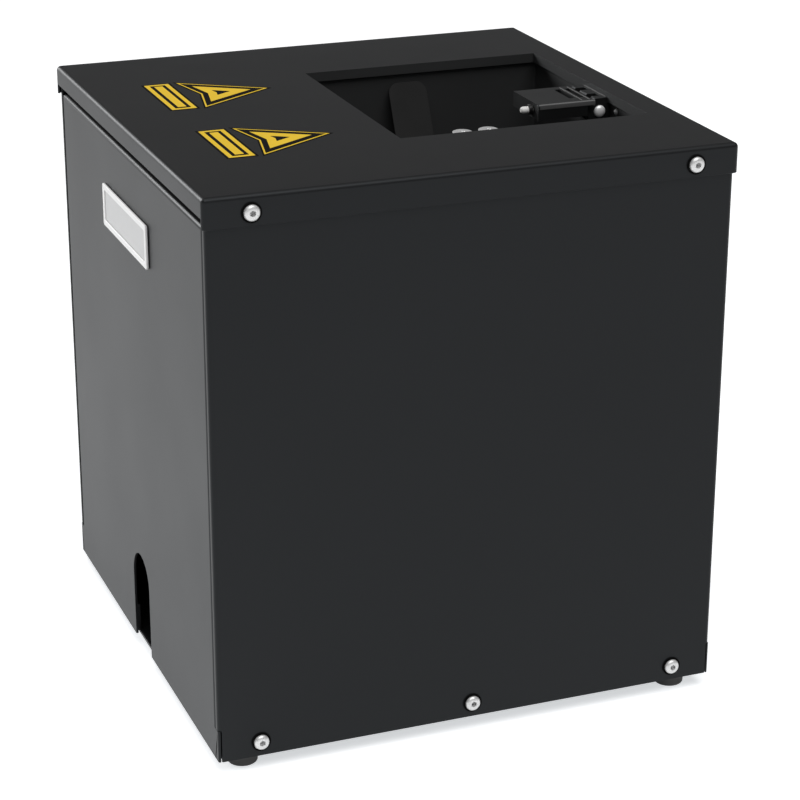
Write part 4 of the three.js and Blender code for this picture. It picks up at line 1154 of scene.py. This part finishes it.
GAS_LINE = (
    ("hose_coupler", "coupler", "brass", 0.25),
    ("coupler_sleeve", "sleeve", "bright_steel", 0.25),
    ("shutoff_valve", "valve_body", "brass", 0.5),
    ("shutoff_lever", "lever", "red_plastic", 0.4),
    ("inlet_pipe", "pipe", "zinc", 0.2),
    ("gas_tank", "tank", "aluminium", 0.8),
    ("main_valve", "valve_block", "brass", 0.6),
    ("valve_coil", "coil", "black_plastic", 0.6),
    ("riser_pipe", "riser", "bright_steel", 0.2),
)

INSIDE = (
    ("bulkhead", "divider", "zinc", 0.2),
    ("well_stand", "stand", "zinc", 0.3),
    ("power_supply", "supply", "aluminium", 0.3),
    ("control_board", "board", "circuit_green", 0.15),
    ("ignition_transformer", "transformer", "black_plastic", 0.8),
)


class FLAME_OT_gas_line(bpy.types.Operator):
    """Adds the hose coupler, the shut-off valve, the tank and the pipes to the burner"""
    bl_idname = "flame_machine.gas_line"
    bl_label = "Add gas line"

    def execute(self, context):
        dress(GAS_LINE)
        return {"FINISHED"}


class FLAME_OT_inside(bpy.types.Operator):
    """Adds the bulkhead, the well's stand, the power supply, the board and the transformer"""
    bl_idname = "flame_machine.inside"
    bl_label = "Add inner frame and electrics"

    def execute(self, context):
        dress(INSIDE)
        return {"FINISHED"}


# Connector tray

CONNECTORS = (
    ("connector_tray", "recess", "case_paint", 0.3),
    ("power_inlet", "inlet", "black_plastic", 0.3),
    ("power_rocker", "rocker", "red_plastic", 0.5),
    ("data_inlet", "data_in", "zinc", 0.25),
    ("data_outlet", "data_out", "zinc", 0.25),
    ("display_window", "display", "display_glass", 0.3),
    ("key_barrel", "barrel", "zinc", 0.3),
    ("key_core", "core", "bright_steel", 0.15),
    ("arming_key", "key", "bright_steel", 0.3),
    ("button_menu", "cap_of_menu", "black_plastic", 0.2),
    ("button_up", "cap_of_up", "black_plastic", 0.2),
    ("button_down", "cap_of_down", "black_plastic", 0.2),
    ("button_enter", "cap_of_enter", "black_plastic", 0.2),
)

SEEN_FROM_BEHIND = (90, 0, 180)
PRINT_DEPTH = 0.12
PRINT_RISE = 4.6

BAR_LENGTH, BAR_WIDTH, BAR_DEPTH, BAR_PITCH = 5.4, 1.1, 0.2, 3.0
BAR_PLACES = {
    "a": (0, 2, 0), "b": (1, 1, 90), "c": (1, -1, 90), "d": (0, -2, 0), "e": (-1, -1, 90), "f": (-1, 1, 90),
}
BARS_OF = {"0": "abcdef", "1": "bc"}


def bar_of_digit():
    """One bar of a digit, with pointed ends, along X"""
    half, tip = BAR_LENGTH / 2, BAR_WIDTH / 2
    shoulder = half - tip
    outline = [(-half, 0), (-shoulder, -tip), (shoulder, -tip), (half, 0), (shoulder, tip), (-shoulder, tip)]
    return flat_shape("bar", outline, 0, BAR_DEPTH)


def digit(name, figure, place):
    """A seven-segment digit that faces back, with its middle at the place"""
    pieces = []
    for key in BARS_OF[figure]:
        x, y, angle = BAR_PLACES[key]
        pieces.append(put(bar_of_digit(), (x * BAR_PITCH, y * BAR_PITCH, 0), (0, 0, angle)))
    return put(put(merge(pieces, name), turn=SEEN_FROM_BEHIND), place)


def sign(name, outlines, place, body=CASE, tilt=0):
    """Printed marks that face back, from outlines as seen from behind the machine"""
    pieces = [flat_shape("mark", outline, 0, PRINT_DEPTH) for outline in outlines]
    piece = put(merge(pieces, name), turn=SEEN_FROM_BEHIND)
    put(piece, turn=(tilt, 0, 0))
    return finish_piece(put(piece, place), "legend_white", body=body)


def ring(outer, inner, steps=32):
    """A ring as two halves, so that each outline is simple"""
    halves = []
    for start in (0, math.pi):
        angles = [start + math.pi * step / steps for step in range(steps + 1)]
        halves.append([(outer * math.cos(a), outer * math.sin(a)) for a in angles]
                      + [(inner * math.cos(a), inner * math.sin(a)) for a in reversed(angles)])
    return halves


def panel_face():
    """y of the tray's face that the signs lie on"""
    sheet = 1.2
    return corners("connector_tray")[0].y + sheet


class FLAME_OT_connector_tray(bpy.types.Operator):
    """Adds the recessed tray with the power and data sockets, the display, the buttons and the key"""
    bl_idname = "flame_machine.connector_tray"
    bl_label = "Add connector tray"

    def execute(self, context):
        dress(CONNECTORS)
        self.add_display()
        self.sign_buttons()
        self.sign_key()
        self.detail_sockets()
        self.sign_rocker()
        return {"FINISHED"}

    def add_display(self):
        """Three lit digits in the display's recess, and its bezel"""
        low, high, middle = extent("display_window")
        pitch, recess, rim, behind, rise, lap, over = 12.5, 0.6, 1.6, 0.3, 0.5, 0.3, 2
        digits = [digit("digit_" + str(n), figure, (middle.x + (1 - n) * pitch, high.y - recess, middle.z))
                  for n, figure in enumerate("001")]
        finish_piece(merge(digits, "display_digits"), "segment_glow")
        bezel = block("bezel", low - Vector((rim, behind, rim)), high + Vector((rim, rise, rim)))
        cut(bezel, block("hole", low + Vector((lap, -over, lap)), high + Vector((-lap, over, -lap))))
        soften(bezel, width=0.4, steps=3)
        finish_piece(bezel, "black_plastic")

    def sign_buttons(self):
        """A plain sign above each button: lines for the menu, two triangles, and a tick"""
        shapes = {
            "menu": [oblong(-2, -1.6, 2, -1), oblong(-2, -0.3, 2, 0.3), oblong(-2, 1, 2, 1.6)],
            "up": [[(-2.1, -1.5), (2.1, -1.5), (0, 2)]],
            "down": [[(-2.1, 1.5), (0, -2), (2.1, 1.5)]],
            "enter": [[(-2.1, 0.1), (-0.6, -1.7), (2.2, 1.7), (1.6, 2.1), (-0.6, -0.6), (-1.6, 0.6)]],
        }
        for name, outlines in shapes.items():
            low, high, middle = extent("button_" + name)
            sign("sign_" + name, outlines, (middle.x, panel_face(), high.z + PRINT_RISE))

    def sign_key(self):
        """A ring and a bar at the key's two places"""
        low, high, middle = extent("key_barrel")
        radius = (high.x - low.x) / 2
        above, beside = radius + 3, radius + 2
        sign("sign_key_off", ring(1.7, 1.1), (middle.x, panel_face(), middle.z + above))
        sign("sign_key_on", [oblong(-0.35, -1.3, 0.35, 1.3)], (middle.x - beside, panel_face(), middle.z))

    def detail_sockets(self):
        """Flange screws and arrows of the data sockets, and the outlet's latch"""
        screw_x, screw_z = 9.8, 12.2
        arrows = {
            "data_inlet": [[(-2.4, 1.6), (0, -1.9), (2.4, 1.6)]],
            "data_outlet": [[(-2.4, -1.6), (2.4, -1.6), (0, 1.9)]],
        }
        profile = [(0, -0.5), (2.5, -0.5), (2.5, 0.1), (2.2, 0.45), (1.2, 0.75), (0, 0.8)]
        head = cut(turned("head", profile, sides=40), drum("socket", 0.95, 0.1, 2, sides=6))
        for node, outlines in arrows.items():
            low, high, middle = extent(node)
            heads = [put(copy_of(head, "head_copy"),
                         (middle.x + side * screw_x, high.y, middle.z + side * screw_z), FACING_BACK)
                     for side in (-1, 1)]
            finish_piece(merge(heads, "screws_of_" + node), "screw_steel")
            sign("sign_" + node, outlines, (middle.x, panel_face(), high.z + PRINT_RISE))
        discard(head)
        low, high, middle = extent("data_outlet")
        latch_low = (middle.x - 3, high.y - 0.5, high.z - 4.6)
        latch_high = (middle.x + 3, high.y + 1.3, high.z - 1.4)
        latch = block("latch", latch_low, latch_high)
        soften(latch, width=0.6, steps=3)
        finish_piece(latch, "zinc")

    def sign_rocker(self):
        """A bar and a ring on the rocker's two slopes"""
        facing_back = 0.8
        rocker = frame["nodes"]["power_rocker"]
        slopes = [(face.center / MM, face.normal) for face in rocker.data.polygons
                  if face.normal.y > facing_back]
        middle = sum(place.z for place, normal in slopes) / len(slopes)
        for name, outlines, side in (("on", [oblong(-0.4, -2, 0.4, 2)], 1), ("off", ring(2, 1.3), -1)):
            slope = [(place, normal) for place, normal in slopes if (place.z - middle) * side > 0]
            place = sum((place for place, normal in slope), Vector()) / len(slope)
            normal = slope[0][1]
            tilt = math.degrees(math.atan2(normal.z, normal.y))
            sign("sign_rocker_" + name, outlines, place, rocker["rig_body"], tilt)


# Studio. Places are in metres and spreads in degrees, and HORIZON and OVERHEAD are heights of a direction

KEY_PLACE, KEY_SPREAD = (0, -0.42, 0.9), 50
SIDE_PLACE, SIDE_SPREAD = (-0.47, 0.82, 0.33), 22
HORIZON = (0.06, 0.14)
OVERHEAD = (0.6, 0.85)
FLOOR_RADIUS, FLOOR_SIDES = 200, 96
FLOOR_LIGHT = (0.45, 0.462, 0.473, 1)
GLOW_REACH = (0.2, 1.5)
FAR_GLOW = 0.7
CAMERA_PLACE = (-0.43190, -1.14422, 0.60693)
CAMERA_RIGHT = (0.9325545, -0.3610209, 0.0024451)
CAMERA_UP = (0.1288731, 0.3392040, 0.9318435)
CAMERA_BACK = (-0.3372444, -0.8686798, 0.3628521)
SENSOR_WIDTH = 36
CLIP_END = 1000


class FLAME_OT_studio(bpy.types.Operator):
    """Adds the floor, the lamps, the room light and the camera"""
    bl_idname = "flame_machine.studio"
    bl_label = "Add studio"

    def execute(self, context):
        studio = context.scene.flame_studio
        context.scene.view_settings.view_transform = "Standard"
        self.add_floor(studio)
        self.add_lamp("key_lamp", KEY_PLACE, KEY_SPREAD, studio.key)
        self.add_lamp("side_lamp", SIDE_PLACE, SIDE_SPREAD, studio.side)
        self.add_room(context, studio)
        self.add_camera(context, studio)
        return {"FINISHED"}

    def combine(self, tree, operation, first, second):
        node = tree.nodes.new("ShaderNodeMath")
        node.operation = operation
        tree.links.new(first, node.inputs[0])
        tree.links.new(second, node.inputs[1])
        return node.outputs["Value"]

    def span(self, tree, value, reach, at_low, at_high):
        """The value's way through its reach, as a level between the two at its ends"""
        node = tree.nodes.new("ShaderNodeMapRange")
        levels = {"From Min": reach[0], "From Max": reach[1], "To Min": at_low, "To Max": at_high}
        for name, level in levels.items():
            node.inputs[name].default_value = level
        tree.links.new(value, node.inputs["Value"])
        return node.outputs["Result"]

    def seen(self, tree, share=None):
        """One for camera rays, and for glossy and transmission rays, or these rays' share"""
        rays = tree.nodes.new("ShaderNodeLightPath").outputs
        bounced = self.combine(tree, "MAXIMUM", rays["Is Glossy Ray"], rays["Is Transmission Ray"])
        if share:
            bounced = self.combine(tree, "MULTIPLY", bounced, share)
        return self.combine(tree, "MAXIMUM", rays["Is Camera Ray"], bounced)

    def add_room(self, context, studio):
        """Even light from all round, with white behind the floor, and in reflections low and overhead"""
        world = bpy.data.worlds.new("room")
        world.use_nodes = True
        tree = world.node_tree
        sky = tree.nodes["Background"]
        sky.inputs["Color"].default_value = (1, 1, 1, 1)
        split = tree.nodes.new("ShaderNodeSeparateXYZ")
        tree.links.new(tree.nodes.new("ShaderNodeTexCoord").outputs["Generated"], split.inputs["Vector"])
        low = self.span(tree, split.outputs["Z"], HORIZON, 1, 0)
        high = self.span(tree, split.outputs["Z"], OVERHEAD, 0, studio.overhead)
        bright = self.combine(tree, "MAXIMUM", low, high)
        level = self.span(tree, self.seen(tree, bright), (0, 1), studio.world, 1)
        tree.links.new(level, sky.inputs["Strength"])
        context.scene.world = world

    def add_floor(self, studio):
        """A wide floor whose own light, strongest round the machine, only the camera and reflections see"""
        clear_selection()
        bpy.ops.mesh.primitive_circle_add(vertices=FLOOR_SIDES, radius=FLOOR_RADIUS, fill_type="NGON")
        floor = added("studio_floor")
        material = bpy.data.materials.new("studio_white")
        material.use_nodes = True
        tree = material.node_tree
        tree.nodes.remove(tree.nodes["Principled BSDF"])
        plain = tree.nodes.new("ShaderNodeBsdfDiffuse")
        plain.inputs["Color"].default_value = (*studio.floor, 1)
        white = tree.nodes.new("ShaderNodeEmission")
        white.inputs["Color"].default_value = FLOOR_LIGHT
        away = tree.nodes.new("ShaderNodeVectorMath")
        away.operation = "LENGTH"
        tree.links.new(tree.nodes.new("ShaderNodeTexCoord").outputs["Object"], away.inputs[0])
        glow = self.span(tree, away.outputs["Value"], GLOW_REACH, studio.glow, FAR_GLOW)
        tree.links.new(glow, white.inputs["Strength"])
        lit = tree.nodes.new("ShaderNodeAddShader")
        tree.links.new(plain.outputs["BSDF"], lit.inputs[0])
        tree.links.new(white.outputs["Emission"], lit.inputs[1])
        switch = tree.nodes.new("ShaderNodeMixShader")
        tree.links.new(self.seen(tree), switch.inputs["Fac"])
        tree.links.new(plain.outputs["BSDF"], switch.inputs[1])
        tree.links.new(lit.outputs["Shader"], switch.inputs[2])
        tree.links.new(switch.outputs["Shader"], tree.nodes["Material Output"].inputs["Surface"])
        floor.data.materials.append(material)

    def add_lamp(self, name, place, spread, strength):
        """A far soft light that shines from a place towards the origin"""
        light = bpy.data.lights.new(name, "SUN")
        light.angle = math.radians(spread)
        light.energy = strength
        lamp = bpy.data.objects.new(name, light)
        lamp.location = place
        lamp.rotation_euler = (-Vector(place)).to_track_quat("-Z", "Y").to_euler()
        bpy.context.scene.collection.objects.link(lamp)

    def add_camera(self, context, studio):
        camera = bpy.data.cameras.new("camera")
        camera.lens = studio.lens
        camera.sensor_width = SENSOR_WIDTH
        camera.clip_end = CLIP_END
        holder = bpy.data.objects.new("camera", camera)
        turn = Matrix((CAMERA_RIGHT, CAMERA_UP, CAMERA_BACK)).transposed()
        holder.matrix_world = Matrix.Translation(CAMERA_PLACE) @ turn.to_4x4()
        context.scene.collection.objects.link(holder)
        context.scene.camera = holder


class FLAME_PT_pieces(bpy.types.Panel):
    """Lists the pieces of the machine"""
    bl_label = "Flame machine"
    bl_idname = "FLAME_PT_pieces"
    bl_space_type = "VIEW_3D"
    bl_region_type = "UI"
    bl_category = "Flame machine"

    def draw(self, context):
        for operator in OPERATORS:
            self.layout.operator(operator.bl_idname)
        for group in (context.scene.flame_case, context.scene.flame_finish, context.scene.flame_studio):
            for name in group.__annotations__:
                self.layout.prop(group, name)


OPERATORS = (
    FLAME_OT_tray, FLAME_OT_feet, FLAME_OT_covers, FLAME_OT_side_panels, FLAME_OT_lid, FLAME_OT_screws,
    FLAME_OT_address_plate, FLAME_OT_markers, FLAME_OT_well, FLAME_OT_burner, FLAME_OT_carrier,
    FLAME_OT_gas_line, FLAME_OT_inside, FLAME_OT_connector_tray, FLAME_OT_studio,
)
SETTINGS = (CaseSettings, FinishSettings, StudioSettings)


def register():
    for entry in (*SETTINGS, *OPERATORS, FLAME_PT_pieces):
        bpy.utils.register_class(entry)
    bpy.types.Scene.flame_case = bpy.props.PointerProperty(type=CaseSettings)
    bpy.types.Scene.flame_finish = bpy.props.PointerProperty(type=FinishSettings)
    bpy.types.Scene.flame_studio = bpy.props.PointerProperty(type=StudioSettings)


def unregister():
    del bpy.types.Scene.flame_case
    del bpy.types.Scene.flame_finish
    del bpy.types.Scene.flame_studio
    for entry in reversed((*SETTINGS, *OPERATORS, FLAME_PT_pieces)):
        bpy.utils.unregister_class(entry)


def main():
    register()
    for operator in OPERATORS:
        group, name = operator.bl_idname.split(".")
        getattr(getattr(bpy.ops, group), name)()


if __name__ == "__main__":
    main()
